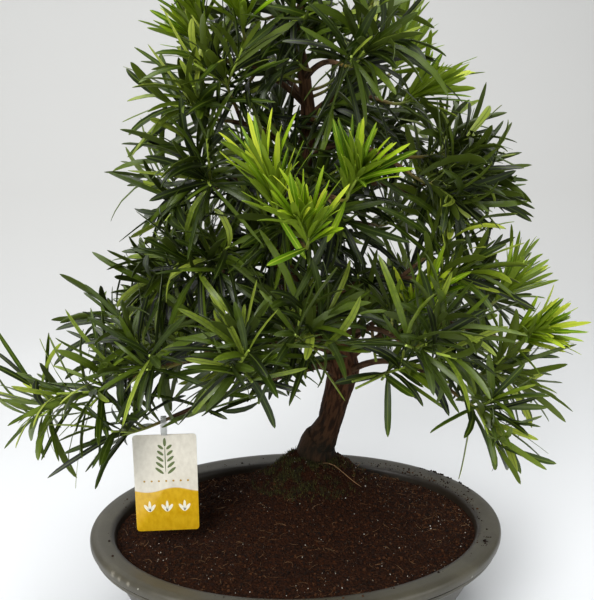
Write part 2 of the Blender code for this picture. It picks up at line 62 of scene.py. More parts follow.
plantPlace = Vector(((potLow.x + potHigh.x) / 2, (potLow.y + potHigh.y) / 2, 0))  # middle of the pot's foot
finishes = {}


def meshFrom(bm, name):
    mesh = bpy.data.meshes.new(name)
    bm.to_mesh(mesh)
    bm.free()
    return mesh


def addObject(name, data):
    added = bpy.data.objects.new(name, data)
    bpy.context.scene.collection.objects.link(added)
    return added


# A piece is modelled with the middle of the pot's foot as its origin, and moved to plantPlace at the end.
def finishPiece(bm, name, used, replaced=(), sharpAngle=180):
    bmesh.ops.recalc_face_normals(bm, faces=bm.faces)
    mesh = meshFrom(bm, name)
    mesh.transform(Matrix.Translation(plantPlace))
    mesh.shade_smooth()
    if sharpAngle < 180:
        mesh.set_sharp_from_angle(angle=math.radians(sharpAngle))
    for finish in used:
        mesh.materials.append(finishes[finish])
    piece = addObject(name, mesh)
    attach(piece, "root")
    if replaced:
        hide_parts(*replaced)
    return piece


def linear(hexColour):
    channels = [int(hexColour[k:k + 2], 16) / 255 for k in (1, 3, 5)]
    return (*[c / 12.92 if c <= 0.04045 else ((c + 0.055) / 1.055) ** 2.4 for c in channels], 1)


# Sets a node's inputs, by name or in their order, each to a value, a hex colour or what another node gives.
def setInputs(node, sockets):
    for socket, value in sockets.items() if isinstance(sockets, dict) else enumerate(sockets):
        if isinstance(value, bpy.types.Node):
            value = next(output for output in value.outputs if output.enabled)
        if isinstance(value, bpy.types.NodeSocket):
            node.id_data.links.new(value, node.inputs[socket])
        else:
            node.inputs[socket].default_value = linear(value) if isinstance(value, str) else value


# Adds a node; stops are a ramp's (place, hex colour).
def addNode(tree, kind, sockets=(), stops=(), **settings):
    node = tree.nodes.new("ShaderNode" + kind)
    for setting, value in settings.items():
        setattr(node, setting, value)
    setInputs(node, sockets)
    if stops:
        ramp = node.color_ramp.elements
        while len(ramp) < len(stops):
            ramp.new(0.5)
        for element, (place, colour) in zip(ramp, stops):
            element.position = place
            element.color = linear(colour)
    return node


# A new material among the finishes: what adds its nodes, its shader and the place its patterns follow.
def newMaterial(finish, name, **shaderValues):
    material = bpy.data.materials.new(name)
    material.use_nodes = True
    finishes[finish] = material
    add = partial(addNode, material.node_tree)
    shader = material.node_tree.nodes["Principled BSDF"]
    setInputs(shader, {socket.replace("_", " "): value for socket, value in shaderValues.items()})
    return add, shader, add("TexCoord").outputs["Object"]


# Gives a material its colour, with others laid over it by their shares, and its bump.
def dressShader(add, shader, colour, layers=(), height=None, strength=0.0, distance=0.0):
    for share, shade in layers:
        colour = add("Mix", {0: share, 6: colour, 7: shade}, data_type="RGBA")
    setInputs(shader, {"Base Color": colour})
    if height is not None:
        bump = add("Bump", {"Height": height, "Strength": strength, "Distance": distance})
        setInputs(shader, {"Normal": bump})


# Marks on the pot's lip: painted highlights and glints, pale scuffs and smudges of soil.
potWearAndHighlights = {
    # place from the middle of the pot's foot, reach in metres, colour
    # painted highlight where the light falls on the lip's front left, over pale scuffs
    "scuffAndHighlightLeft": (Vector((-0.1590, -0.0722, 0.0870)), 0.0060, "#8a8476"),
    "scuffAndHighlightMiddle": (Vector((-0.1530, -0.0795, 0.0870)), 0.0050, "#827c6e"),
    "scuffAndHighlightFront": (Vector((-0.1451, -0.0876, 0.0872)), 0.0045, "#8c8678"),
    # painted glints on the lip's edge, at the front left and at the right end of its lower edge
    "glintLeft": (Vector((-0.1363, -0.0952, 0.0872)), 0.0016, "#d0ccc2"),
    "glintRight": (Vector((0.1388, -0.0937, 0.0831)), 0.0026, "#a5a196"),
    "smudgeRight": (Vector((0.1622, -0.0503, 0.0897)), 0.009, "#17120b"),
    "smudgeBack": (Vector((0.147, 0.080, 0.0897)), 0.018, "#17120b"),
}


# Stoneware, thrown and burnished, fired without glaze: satin grey clay with fine grit, a little iron
# speckle and damp patches, with painted shade at its back and right side, soil stain and painted shade on
# the lip's inner edge, painted highlights over pale scuffs and painted glints on the lip's front, and
# smudges of soil.
def makeStoneware():
    add, shader, place = newMaterial("stoneware", "greyStoneware")
    cloud = add("TexNoise", {"Vector": place, "Scale": 22, "Detail": 5, "Roughness": 0.6})
    grit = add("TexNoise", {"Vector": place, "Scale": 900, "Detail": 2})
    stain = add("TexNoise", {"Vector": place, "Scale": 48, "Detail": 6, "Roughness": 0.7})
    patches = add("TexNoise", {"Vector": place, "Scale": 560, "Detail": 6, "Roughness": 0.8})
    body = add("ValToRGB", [cloud], ((0.30, "#39362b"), (0.52, "#454135"), (0.72, "#545042")))
    specks = add("ValToRGB", [grit], ((0.66, "#000000"), (0.72, "#ffffff")))
    # painted shade: the clay darkens towards the back and the right side, away from the lamps, on top of
    # damp patches from the stain noise
    side = add("VectorMath", [place, (1.6, 3.2, 0.0)], operation="DOT_PRODUCT")
    dampAndPaintedShade = add("Math", [stain, 1.3, side], operation="MULTIPLY_ADD")
    darkPatches = add("MapRange", [dampAndPaintedShade, 0.65, 1.30, 0.0, 0.70])
    # soil stain with painted shade: the lip's inner edge and the wall above the soil darken where shade
    # falls into the pot
    soilAndShade = add("Attribute", attribute_name="soilAndShade").outputs["Fac"]
    soilAndShadeMix = add("Math", [soilAndShade, stain, 0.35], operation="MULTIPLY_ADD")
    soilAndShadeShare = add("MapRange", [soilAndShadeMix, 0.38, 0.80, 0.0, 0.85])
    layers = [(specks, "#332e26"), (darkPatches, "#241f16"), (soilAndShadeShare, "#1a1209")]
    # the lip's marks, painted highlights and glints among them, each fading out over its reach
    for spot, reach, shade in potWearAndHighlights.values():
        away = add("VectorMath", [place, plantPlace + spot], operation="DISTANCE")
        near = add("MapRange", [away, 0.0, reach, 1.0, 0.0])
        wearSoilAndHighlight = add("Math", [near, patches], operation="ADD")
        layers.append((add("MapRange", [wearSoilAndHighlight, 0.95, 1.45, 0.0, 0.80]), shade))
    dressShader(add, shader, body, layers, grit, 0.25, 0.0003)
    setInputs(shader, {"Roughness": add("MapRange", [cloud, 0.0, 1.0, 0.34, 0.52])})


# Coir and peat, damp: nearly black red-brown crumbs, so rough that next to no light glances off.
def makeSoil():
    add, shader, place = newMaterial("soil", "coirPottingSoil", Roughness=0.95, Specular_IOR_Level=0.12)
    clods = add("TexNoise", {"Vector": place, "Scale": 380, "Detail": 6, "Roughness": 0.75})
    colour = add("ValToRGB", [clods],
                 ((0.32, "#110601"), (0.50, "#251106"), (0.64, "#3c1e0a"), (0.78, "#633c1c")))
    crumbs = add("TexVoronoi", {"Vector": place, "Scale": 420})
    height = add("Math", [clods, crumbs], operation="ADD")
    dressShader(add, shader, colour, (), height, 0.9, 0.002)


# Podocarpus bark: thin red-brown fibrous strips with dark cracks between them, blackened near the soil.
def makeBark():
    add, shader, place = newMaterial("bark", "fibrousBark", Roughness=0.88, Specular_IOR_Level=0.2)
    relief = add("Attribute", attribute_name="relief").outputs["Fac"]
    youth = add("Attribute", attribute_name="youth").outputs["Fac"]
    stretched = add("Mapping", {"Vector": place, "Scale": (1, 1, 0.16)})
    fibres = add("TexNoise", {"Vector": stretched, "Scale": 620, "Detail": 5, "Roughness": 0.65})
    mixed = add("Math", [fibres, 0.55, relief], operation="MULTIPLY_ADD")
    old = add("ValToRGB", [mixed],
              ((0.20, "#0a0502"), (0.55, "#201208"), (0.86, "#38200f"), (1.0, "#573822")))
    young = add("ValToRGB", [mixed], ((0.25, "#110a05"), (0.65, "#2d1d10"), (1.0, "#57402b")))
    darkPatches = add("TexNoise", {"Vector": place, "Scale": 60, "Detail": 4})
    # darker towards the soil: greenish black, in patches, fading out between 0.13 and 0.2 m high
    height = add("SeparateXYZ", [place]).outputs["Z"]
    low = add("MapRange", [height, 0.130, 0.200, 1.5, 0.0])
    darkeningNearSoil = add("Math", [low, darkPatches], operation="MULTIPLY")
    dressShader(add, shader, old, ((youth, young), (darkeningNearSoil, "#12130a")), fibres, 1.0, 0.0012)


# Podocarpus leaf: leathery and waxy, so a soft gloss over green, with a paler midrib and a dull pale
# underside. It grows lighter towards its tip by tipShift.
def makeLeaf(finish, name, roughness, tipShift, midrib, underside, stops):
    add, shader, place = newMaterial(finish, name, Roughness=roughness, IOR=1.45, Specular_IOR_Level=0.28)
    tint = add("Attribute", attribute_name="tint").outputs["Fac"]
    below = add("Attribute", attribute_name="below").outputs["Fac"]
    uv = add("UVMap", uv_map="blade")
    cells = add("TexNoise", {"Vector": place, "Scale": 260, "Detail": 3})
    shade = add("MapRange", [cells, 0.0, 1.0, -0.12 - tipShift / 2, 0.12 - tipShift / 2])
    share = add("Math", [tint, shade], operation="ADD")
    parts = add("SeparateXYZ", [uv])
    ripe = add("Math", [parts.outputs["Y"], tipShift, share], operation="MULTIPLY_ADD")
    offset = add("Math", [parts.outputs["X"], 0.5], operation="SUBTRACT")
    aside = add("Math", [offset], operation="ABSOLUTE")
    rib = add("MapRange", [aside, 0.03, 0.10, 0.75, 0.0])
    waves = add("TexWave", {"Vector": uv, "Scale": 3.0, "Distortion": 1.0, "Detail": 1},
                bands_direction="X").outputs["Fac"]
    colour = add("ValToRGB", [ripe], stops)
    dressShader(add, shader, colour, ((rib, midrib), (below, underside)), waves, 0.12, 0.0002)


# Printed PVC card under a clear film: cream above, and golden yellow below a soft wave.
def makeCard():
    add, shader, _ = newMaterial("card", "printedCard", Roughness=0.3, IOR=1.53, Coat_Weight=0.3)
    uv = add("UVMap", uv_map="print")
    parts = add("SeparateXYZ", [uv])
    turn = add("Math", [parts.outputs["X"], 7.5], operation="MULTIPLY")
    wave = add("Math", [turn], operation="SINE")
    edge = add("Math", [wave, 0.022, parts.outputs["Y"]], operation="MULTIPLY_ADD")
    lower = add("MapRange", [edge, 0.425, 0.435, 1.0, 0.0])
    ink = add("TexNoise", {"Vector": uv, "Scale": 14, "Detail": 3})
    gold = add("ValToRGB", [ink], ((0.3, "#c99a07"), (0.7, "#dbb020")))
    cream = add("ValToRGB", [ink], ((0.3, "#d6cfbe"), (0.7, "#e4dece")))
    dressShader(add, shader, cream, [(lower, gold)])


# A material mottled by fine noise; sway is how far the noise moves each part's tint, where it has one.
def makeMottled(finish, name, scale, detail, stops, sway=None, bump=(), **shaderValues):
    add, shader, place = newMaterial(finish, name, **shaderValues)
    mottle = share = add("TexNoise", {"Vector": place, "Scale": scale, "Detail": detail})
    if sway:
        tint = add("Attribute", attribute_name="tint").outputs["Fac"]
        moved = add("MapRange", [mottle, 0.0, 1.0, *sway])
        share = add("Math", [tint, moved], operation="ADD")
    dressShader(add, shader, add("ValToRGB", [share], stops), (), mottle if bump else None, *bump)


makeStoneware()
makeSoil()
makeBark()
makeCard()
makeLeaf("old", "matureLeaf", 0.34, 0.12, "#44521c", "#3a4614",
         ((0.0, "#0a1002"), (0.45, "#202d05"), (0.8, "#475810"), (1.0, "#7a882e")))
makeLeaf("mid", "summerLeaf", 0.36, 0.20, "#5b691f", "#4b5918",
         ((0.0, "#121c03"), (0.45, "#314307"), (0.8, "#5c6e15"), (1.0, "#909c34")))
makeLeaf("new", "newLeaf", 0.42, 0.50, "#99aa36", "#6b801a",
         ((0.0, "#375301"), (0.35, "#597b04"), (0.7, "#839f11"), (1.0, "#b7c236")))
# Green shoot: soft waxy skin, red-brown where it is oldest, at its foot.
makeMottled("shoot", "greenShoot", 400, 3,
            ((0.15, "#4a2c1c"), (0.45, "#6a5a26"), (0.75, "#6f7f2a"), (1.0, "#8fa33a")),
            sway=(0.0, 0.3), bump=(0.3, 0.0003), Roughness=0.5, IOR=1.45)
# Loose bits on the soil: dry, matt and grainy, in the shades that each bit's tint picks.
for finish, name, grain, roughness, stops in (
        ("crumbs", "peatCrumbs", 900, 0.95, ((0.0, "#0e0502"), (0.5, "#241207"), (1.0, "#452812"))),
        ("perlite", "expandedPerlite", 1500, 0.85, ((0.0, "#5a5245"), (0.6, "#938b7d"), (1.0, "#dedad0"))),
        ("fibres", "coirFibre", 700, 0.8, ((0.0, "#2e1b0e"), (0.5, "#583b22"), (1.0, "#9a7956"))),
        ("moss", "cushionMoss", 500, 0.9, ((0.0, "#14110a"), (0.5, "#2a270f"), (1.0, "#4c4c1f")))):
    makeMottled(finish, name, grain, 3, stops, sway=(-0.25, 0.25), bump=(0.6, 0.0005),
                Roughness=roughness, Specular_IOR_Level=0.2)
# Black polypropylene netting, moulded: a dull sheen and a faint grain.
makeMottled("netting", "blackPolypropylene", 800, 2, ((0.3, "#161615"), (0.7, "#242422")),
            bump=(0.2, 0.0002), Roughness=0.55, IOR=1.49)
# Clear polypropylene strap, cloudy with handling.
makeMottled("strap", "clearPolypropylene", 500, 2, ((0.3, "#dcddda"), (0.7, "#f0f1ee")),
            Roughness=0.35, IOR=1.49, Transmission_Weight=0.6)
# The small print on the card: opaque ink, slightly uneven in depth.
for name, deep, pale in (("goldInk", "#a8831a", "#b8901e"), ("greenInk", "#586632", "#617038"),
                         ("creamInk", "#dedac6", "#f3eed8")):
    makeMottled(name, name, 900, 1, ((0.0, deep), (1.0, pale)), Roughness=0.35)
print("materials made:", len(finishes))


# A tube: a ring of unit radius at the first place, its edge extruded to each later one. Returns the rings.
def growTube(bm, places, sides, capped=True):
    ring = bmesh.ops.create_circle(bm, segments=sides, radius=1.0, matrix=places[0])["verts"]
    edges = list(dict.fromkeys(edge for vert in ring for edge in vert.link_edges))
    if capped:
        bmesh.ops.contextual_create(bm, geom=edges)
    rings = [ring]
    for before, after in zip(places, places[1:]):
        grown = bmesh.ops.extrude_edge_only(bm, edges=edges)["geom"]
        ring = [item for item in grown if isinstance(item, bmesh.types.BMVert)]
        edges = [item for item in grown if isinstance(item, bmesh.types.BMEdge)
                 and item.verts[0] in ring and item.verts[1] in ring]
        bmesh.ops.transform(bm, matrix=after @ before.inverted(), verts=ring)
        rings.append(ring)
    if capped:
        bmesh.ops.contextual_create(bm, geom=edges)
    return rings


# Ring places along a path, each turned as little as possible from the one before.
def tubePlaces(points, radii):
    places = []
    turn = None
    for k, point in enumerate(points):
        ahead = points[min(k + 1, len(points) - 1)] - points[max(k - 1, 0)]
        if turn is None:
            turn = ahead.to_track_quat("Z", "Y")
        else:
            turn = (turn @ up).rotation_difference(ahead) @ turn
        size = Matrix.Diagonal((radii[k], radii[k], 1, 1))
        places.append(Matrix.Translation(point) @ turn.to_matrix().to_4x4() @ size)
    return places


# A smooth curve through the points, and the radius along it, at about the given spacing.
def smoothPath(points, radii, spacing):
    curve, thickness = [], []
    for k in range(len(points) - 1):
        a, b, c, d = [points[min(max(k + step, 0), len(points) - 1)] for step in (-1, 0, 1, 2)]
        count = max(1, round((c - b).length / spacing))
        curve += geometry.interpolate_bezier(b, b + (c - a) / 6, c - (d - b) / 6, c, count + 1)[:count]
        thickness += [radii[k] + (radii[k + 1] - radii[k]) * step / count for step in range(count)]
    return curve + [points[-1]], thickness + [radii[-1]]


# One piece of copies of a small form, each with its tint, in batches as a large bmesh is slow to add to.
def scatterPiece(name, finish, form, copies, sharpAngle=40, batchSize=120):
    form.verts.layers.float.new("tint")
    template = meshFrom(form, name + "Form")
    whole = bmesh.new()
    for first in range(0, len(copies), batchSize):
        batch = bmesh.new()
        for place, tint in copies[first:first + batchSize]:
            before = len(batch.verts)
            batch.from_mesh(template)
            batch.verts.ensure_lookup_table()
            layer = batch.verts.layers.float["tint"]
            for vert in batch.verts[before:]:
                vert.co = place @ vert.co
                vert[layer] = tint
        mesh = meshFrom(batch, "batch")
        whole.from_mesh(mesh)
        bpy.data.meshes.remove(mesh)
    finishPiece(whole, name, [finish], sharpAngle=sharpAngle)


potShape = {
    "halfLength": 0.187,
    "halfWidth": 0.140,
    "sides": 160,
    # inset from the widest outline and height: up the outside to a rib and a groove, then over the lip
    "outside": ((0.046, 0.012), (0.038, 0.019), (0.028, 0.038), (0.0195, 0.058), (0.0155, 0.0690),
                (0.0090, 0.0714), (0.0040, 0.0740), (0.0024, 0.0768), (0.0028, 0.0786), (0.0050, 0.0795),
                (0.0024, 0.0804), (0.0002, 0.0818), (0.0, 0.0840), (0.0002, 0.0868), (0.0018, 0.0890),
                (0.0050, 0.0899), (0.0090, 0.0900), (0.0200, 0.0880)),
    "inside": ((0.0225, 0.0840), (0.0270, 0.0560), (0.0350, 0.0340), (0.0480, 0.020)),
    "spacing": (0.0013, 0.006),  # between the rings, outside and inside
    # the inset at which soil stain and painted shade begin to darken the lip, over how much they do, and
    # above which height
    "soilAndShade": (0.0165, 0.0040, 0.080),
    "footInsets": (0.050, 0.064),
    "footTop": 0.0135,
    "footTaper": 0.0012,
    "footGaps": (0.050, 0.024),  # half the gap between the feet, along the pot and across it
    "drainX": 0.055,
    "drainRadius": 0.007,
    "floorTop": 0.020,
}


def ovalPlace(inset, z):
    size = (potShape["halfLength"] - inset, potShape["halfWidth"] - inset, 1, 1)
    return Matrix.Translation((0, 0, z)) @ Matrix.Diagonal(size)


# The profile with its corners rounded, as (inset, height).
def roundedProfile(corners, spacing):
    points, _ = smoothPath([Vector((inset, 0, z)) for inset, z in corners], [0] * len(corners), spacing)
    return [(point.x, point.z) for point in points]


def cutDrainHoles(piece):
    bm = bmesh.new()
    radius, top = potShape["drainRadius"], potShape["floorTop"]
    for side in (-1, 1):
        place = Matrix.Translation(plantPlace + Vector((side * potShape["drainX"], 0, top)))
        bmesh.ops.create_cone(bm, cap_ends=True, segments=32, radius1=radius, radius2=radius, depth=2 * top,
                              matrix=place)
    plugs = addObject("drainPlugs", meshFrom(bm, "drainPlugs"))
    modifier = piece.modifiers.new("drainHoles", "BOOLEAN")
    modifier.operation = "DIFFERENCE"
    modifier.object = plugs
    modifier.solver = "EXACT"
    modifier.use_self = True  # joins the feet to the pot
    bpy.context.view_layer.update()
    cut = bpy.data.meshes.new_from_object(piece.evaluated_get(bpy.context.evaluated_depsgraph_get()))
    piece.modifiers.clear()
    piece.data = cut
    bpy.data.objects.remove(plugs)


# One curved foot: a tube with four sides, its corners set round the oval from one angle to the other.
def growFoot(bm, start, end, steps=10):
    outer, inner = potShape["footInsets"]
    square = Matrix.Rotation(math.pi / 4, 4, "Z")
    for k, ring in enumerate(growTube(bm, [square] * (steps + 1), 4)):
        angle = start + (end - start) * k / steps
        for vert in ring:
            top = vert.co.y > 0
            inset = inner if vert.co.x < 0 else outer + (0 if top else potShape["footTaper"])
            vert.co = ((potShape["halfLength"] - inset) * math.cos(angle),
                       (potShape["halfWidth"] - inset) * math.sin(angle), potShape["footTop"] if top else 0)


def makePot():
    shape = potShape
    bm = bmesh.new()
    soilAndShade = bm.verts.layers.float.new("soilAndShade")
    profile = roundedProfile(shape["outside"] + shape["inside"][:1], shape["spacing"][0])
    profile += roundedProfile(shape["inside"], shape["spacing"][1])[1:]
    rings = growTube(bm, [ovalPlace(*spot) for spot in profile], shape["sides"])
    first, width, lowest = shape["soilAndShade"]
    for ring, (inset, z) in zip(rings, profile):
        for vert in ring:
            vert[soilAndShade] = min(1, max(0, (inset - first) / width)) if z > lowest else 0
    middle = sum(shape["footInsets"]) / 2
    first = math.asin(shape["footGaps"][1] / (shape["halfWidth"] - middle))
    last = math.acos(shape["footGaps"][0] / (shape["halfLength"] - middle))
    for start, end in ((first, last), (math.pi - last, math.pi - first)):
        growFoot(bm, start, end)
        growFoot(bm, start + math.pi, end + math.pi)
    cutDrainHoles(finishPiece(bm, "stonewarePot", ["stoneware"], ["pot"], sharpAngle=50))


makePot()
print("pot made")


soilShape = {
    "clearance": 0.00035,
    "edgeZ": 0.0805,
    "heap": 0.060,
    "heapPower": 2.6,
    "topShare": 0.16,  # inside this share of the way out the mound is level
    "rings": 110,
    "sides": 300,
    "centring": 1.4,  # how fast the mound's ovals move from the trunk to the middle of the pot
    "lumps": ((0.018, 0.0020), (0.006, 0.0014), (0.0025, 0.0010)),  # size across and height
    "evenEdge": 12,  # the lumps fade over one part in so many, next to the wall
    "mound": (-0.019, -0.004, 0.0065, 0.015),  # the moss cushion: place from the trunk, height and radius
    "crumbs": (7600, 0.0005, 0.0016),  # how many, the smallest and the largest radius
    "perlite": (900, 0.00025, 0.00075),
    "farthest": 0.985,
    "raised": 0.3,  # how high a grain's middle stands over the soil, as a share of its radius
    "rimCrumbs": 320,
    "rimBack": (0.75, 0.9, 0.6),  # the share of them at the back, and its angle and spread in radians
    "rimSizes": (0.0003, 0.0006, 0.0009),  # from, to, and what a few are larger
    "heapSizes": (0.0004, 0.0012),
    "heapSpread": (0.8, 0.008),  # degrees round the pot, and shares of the way out
    "heapTint": 0.4,
    # crumbs that lie together on the lip: degrees round the pot, share of the way out and how many
    "rimHeaps": ((42, 0.975, 14), (38, 0.98, 14), (35, 0.975, 16), (30, 0.977, 16), (31, 0.945, 6),
                 (27, 0.925, 7), (24.5, 0.98, 6), (20, 0.975, 8), (17.5, 0.955, 10), (-20, 0.944, 7),
                 (-22.5, 0.939, 9), (-25, 0.948, 8)),
    "fibres": 1050,
    "fibreLength": (0.004, 0.013),
    "fibreRadius": (0.00009, 0.00022),
    "fibreCurl": 2.6,  # radians, either way
    "fibreRise": (0.1, 0.5),
    "openRoot": (0.00055, 0.95),  # radius and tint
    "mossBlades": 3000,
    "mossReach": (0.08, 0.36),  # shares of the way out
    "mossSide": (225, 55),  # degrees round the trunk, and their spread
    "mossSize": (0.00042, 0.0010, 0.0026),  # radius, and the shortest and the longest half length
    "mossLean": 0.7,  # radians
}
trunkFoot = Vector((0.025, 0.071, 0.0))


# The soil's oval at a share of the way out, 0 at the trunk and 1 at the pot's wall: centre and half sizes.
def soilOval(share):
    inset = potShape["inside"][0][0] + 2 * soilShape["clearance"]
    halfLength = (potShape["halfLength"] - inset) * share
    centre = trunkFoot * (1 - share ** soilShape["centring"])
    return centre, halfLength, (potShape["halfWidth"] - inset) * share


def soilPoint(share, angle, rough=True):
    centre, halfLength, halfWidth = soilOval(share)
    low = max(share, soilShape["topShare"])
    x = centre.x + halfLength * math.cos(angle)
    y = centre.y + halfWidth * math.sin(angle)
    z = soilShape["edgeZ"] + soilShape["heap"] * (1 - low) ** soilShape["heapPower"]
    if rough:
        spot = Vector((x, y, 0))
        lumps = sum(noise.noise(spot / size) * height for size, height in soilShape["lumps"])
        z += lumps * min(1, (1 - share) * soilShape["evenEdge"])
        aside, ahead, height, reach = soilShape["mound"]
        away = math.hypot(x - trunkFoot.x - aside, y - trunkFoot.y - ahead) / reach
        z += height * math.exp(-away * away) * (1 + 0.25 * noise.noise(spot / 0.007))
    return Vector((x, y, z))


# The soil's height at a place, found by halving the range of shares.
def soilLevel(x, y):
    low, high = 0.0, 1.0
    for _ in range(22):
        share = (low + high) / 2
        centre, halfLength, halfWidth = soilOval(share)
        outside = math.hypot((x - centre.x) / halfLength, (y - centre.y) / halfWidth) > 1
        low, high = (share, high) if outside else (low, share)
    return soilPoint(share, 0, rough=False).z


def makeSoilBed():
    shape = soilShape
    wall = [(inset + shape["clearance"], z) for inset, z in reversed(potShape["inside"])]
    wall[0] = (wall[0][0], potShape["floorTop"] + shape["clearance"])
    places = [ovalPlace(inset, z) for inset, z in wall[:-1]]
    shares = [1 - k / shape["rings"] for k in range(shape["rings"] - 1)]
    ovals = [soilOval(share) for share in shares]
    for share, (centre, halfLength, halfWidth) in zip(shares, ovals):
        middle = centre + up * soilPoint(share, 0, rough=False).z
        places.append(Matrix.Translation(middle) @ Matrix.Diagonal((halfLength, halfWidth, 1, 1)))
    bm = bmesh.new()
    rings = growTube(bm, places, shape["sides"])[len(wall) - 1:]
    for ring, share, (centre, halfLength, halfWidth) in zip(rings, shares, ovals):
        for vert in ring:
            place = vert.co - centre
            vert.co.z = soilPoint(share, math.atan2(place.y / halfWidth, place.x / halfLength)).z
    finishPiece(bm, "pottingSoil", ["soil"], ["soil"], sharpAngle=60)


def randomTurn(draw, lean=2 * math.pi):
    turn = Matrix.Rotation(draw.uniform(0, 2 * math.pi), 4, "Z")
    return turn @ Matrix.Rotation(draw.uniform(0, lean), 4, "X")


def crumbForm(roughness, seed):
    bm = bmesh.new()
    bmesh.ops.create_icosphere(bm, subdivisions=1, radius=1.0)
    draw = random.Random(seed)
    for vert in bm.verts:
        vert.co *= 1 + draw.uniform(-roughness, roughness)
    return bm


# Crumbs of peat or grains of perlite, partly sunk into the soil.
def makeGrains(name, finish, seed):
    draw = random.Random(seed)
    count, *sizes = soilShape[finish]
    copies = []
    for _ in range(count):
        share = math.sqrt(draw.uniform(0.02, soilShape["farthest"] ** 2))
        spot = soilPoint(share, draw.uniform(0, 2 * math.pi))
        size = draw.uniform(*sizes) * draw.uniform(0.6, 1)
        shape = Matrix.Diagonal([size * draw.uniform(0.6, 1.2) for _ in range(3)] + [1])
        middle = Matrix.Translation(spot + up * size * soilShape["raised"])
        copies.append((middle @ randomTurn(draw) @ shape, draw.random()))
    scatterPiece(name, finish, crumbForm(0.22, seed), copies)


# Crumbs that fell on the pot's lip when it was filled, most of them at the back, with heaps at the right.
def makeRimCrumbs():
    draw = random.Random(19)
    copies = []
    (crownInset, crownZ), (lowInset, lowZ) = potShape["outside"][-2:]
    backShare, *back = soilShape["rimBack"]
    *rimSizes, larger = soilShape["rimSizes"]
    spreadRound, spreadOut = soilShape["heapSpread"]
    for _ in range(soilShape["rimCrumbs"]):
        share = draw.uniform(0.1, 1.0) ** 0.6
        place = ovalPlace(crownInset + (lowInset - crownInset) * share, crownZ + (lowZ - crownZ) * share)
        angle = draw.gauss(*back) if draw.random() < backShare else draw.uniform(0, 2 * math.pi)
        size = draw.uniform(*rimSizes) + larger * draw.random() ** 4
        spot = place @ Vector((math.cos(angle), math.sin(angle), 0))
        copies.append((Matrix.Translation(spot) @ randomTurn(draw) @ Matrix.Scale(size, 4), draw.random()))
    for degrees, share, count in soilShape["rimHeaps"]:
        for _ in range(count):
            angle = math.radians(draw.gauss(degrees, spreadRound))
            size = draw.uniform(*soilShape["heapSizes"])
            out = min(0.988, share + draw.gauss(0, spreadOut))
            spot = Vector((potShape["halfLength"] * out * math.cos(angle),
                           potShape["halfWidth"] * out * math.sin(angle), crownZ - 0.0005))
            place = Matrix.Translation(spot) @ randomTurn(draw) @ Matrix.Scale(size, 4)
            copies.append((place, draw.random() * soilShape["heapTint"]))
    scatterPiece("rimCrumbs", "crumbs", crumbForm(0.3, 19), copies)


# A fibre that comes out of the soil, curls and goes down again, as points.
def fibrePoints(draw, start, length):
    angle = draw.uniform(0, 2 * math.pi)
    curl = draw.uniform(-soilShape["fibreCurl"], soilShape["fibreCurl"])
    rise = draw.uniform(*soilShape["fibreRise"])
    points = [start]
    for k in range(5):
        turn = angle + curl * k / 4
        way = Vector((math.cos(turn), math.sin(turn), rise * (1 - k / 2)))
        points.append(points[-1] + way.normalized() * length / 5)
    return points


# The thin root that lies open on the mound in front of the trunk, from its left to its right.
def openRoot():
    points = []
    for k in range(9):
        aside, ahead = -0.010 + 0.0062 * k, -0.024 + 0.006 * math.sin(k * 0.55) - 0.0009 * k
        spot = trunkFoot + Vector((aside, ahead, 0))
        spot.z = soilLevel(spot.x, spot.y) + 0.0016 - 0.00008 * (k - 4) ** 2
        points.append(spot)
    return points


def makeFibres():
    draw = random.Random(31)
    bm = bmesh.new()
    layer = bm.verts.layers.float.new("tint")
    strands = [(openRoot(), *soilShape["openRoot"])]
    for _ in range(soilShape["fibres"]):
        start = soilPoint(math.sqrt(draw.uniform(0.02, 0.96)), draw.uniform(0, 2 * math.pi))
        points = fibrePoints(draw, start, draw.uniform(*soilShape["fibreLength"]))
        strands.append((points, draw.uniform(*soilShape["fibreRadius"]), draw.random() ** 1.5))
    for points, radius, tint in strands:
        radii = [radius * (1 - 0.5 * k / len(points)) for k in range(len(points))]
        for ring in growTube(bm, tubePlaces(points, radii), 3):
            for vert in ring:
                vert[layer] = tint
    finishPiece(bm, "coirFibres", ["fibres"])


# Short pointed blades standing on the mound, thickest in front of the trunk and to its left.
def makeMoss():
    draw = random.Random(37)
    spike = bmesh.new()
    bmesh.ops.create_cone(spike, cap_ends=False, segments=3, radius1=1.0, radius2=0.0, depth=2.0,
                          matrix=Matrix.Translation((0, 0, 1)))
    radius, *lengths = soilShape["mossSize"]
    copies = []
    while len(copies) < soilShape["mossBlades"]:
        share = draw.uniform(*soilShape["mossReach"])
        spot = soilPoint(share, math.radians(draw.gauss(*soilShape["mossSide"])))
        if noise.noise(spot / 0.009) + 0.30 < draw.random() * (0.4 + share * 2):
            continue
        turn = randomTurn(draw, soilShape["mossLean"])
        shape = Matrix.Diagonal((radius, radius, draw.uniform(*lengths), 1))
        copies.append((Matrix.Translation(spot - up * 0.0003) @ turn @ shape, draw.random()))
    scatterPiece("mossCushions", "moss", spike, copies, sharpAngle=180)


makeSoilBed()
makeGrains("peatCrumbs", "crumbs", 17)
makeGrains("perliteGrains", "perlite", 23)
makeRimCrumbs()
makeFibres()
makeMoss()
print("soil, crumbs, fibres and moss made")


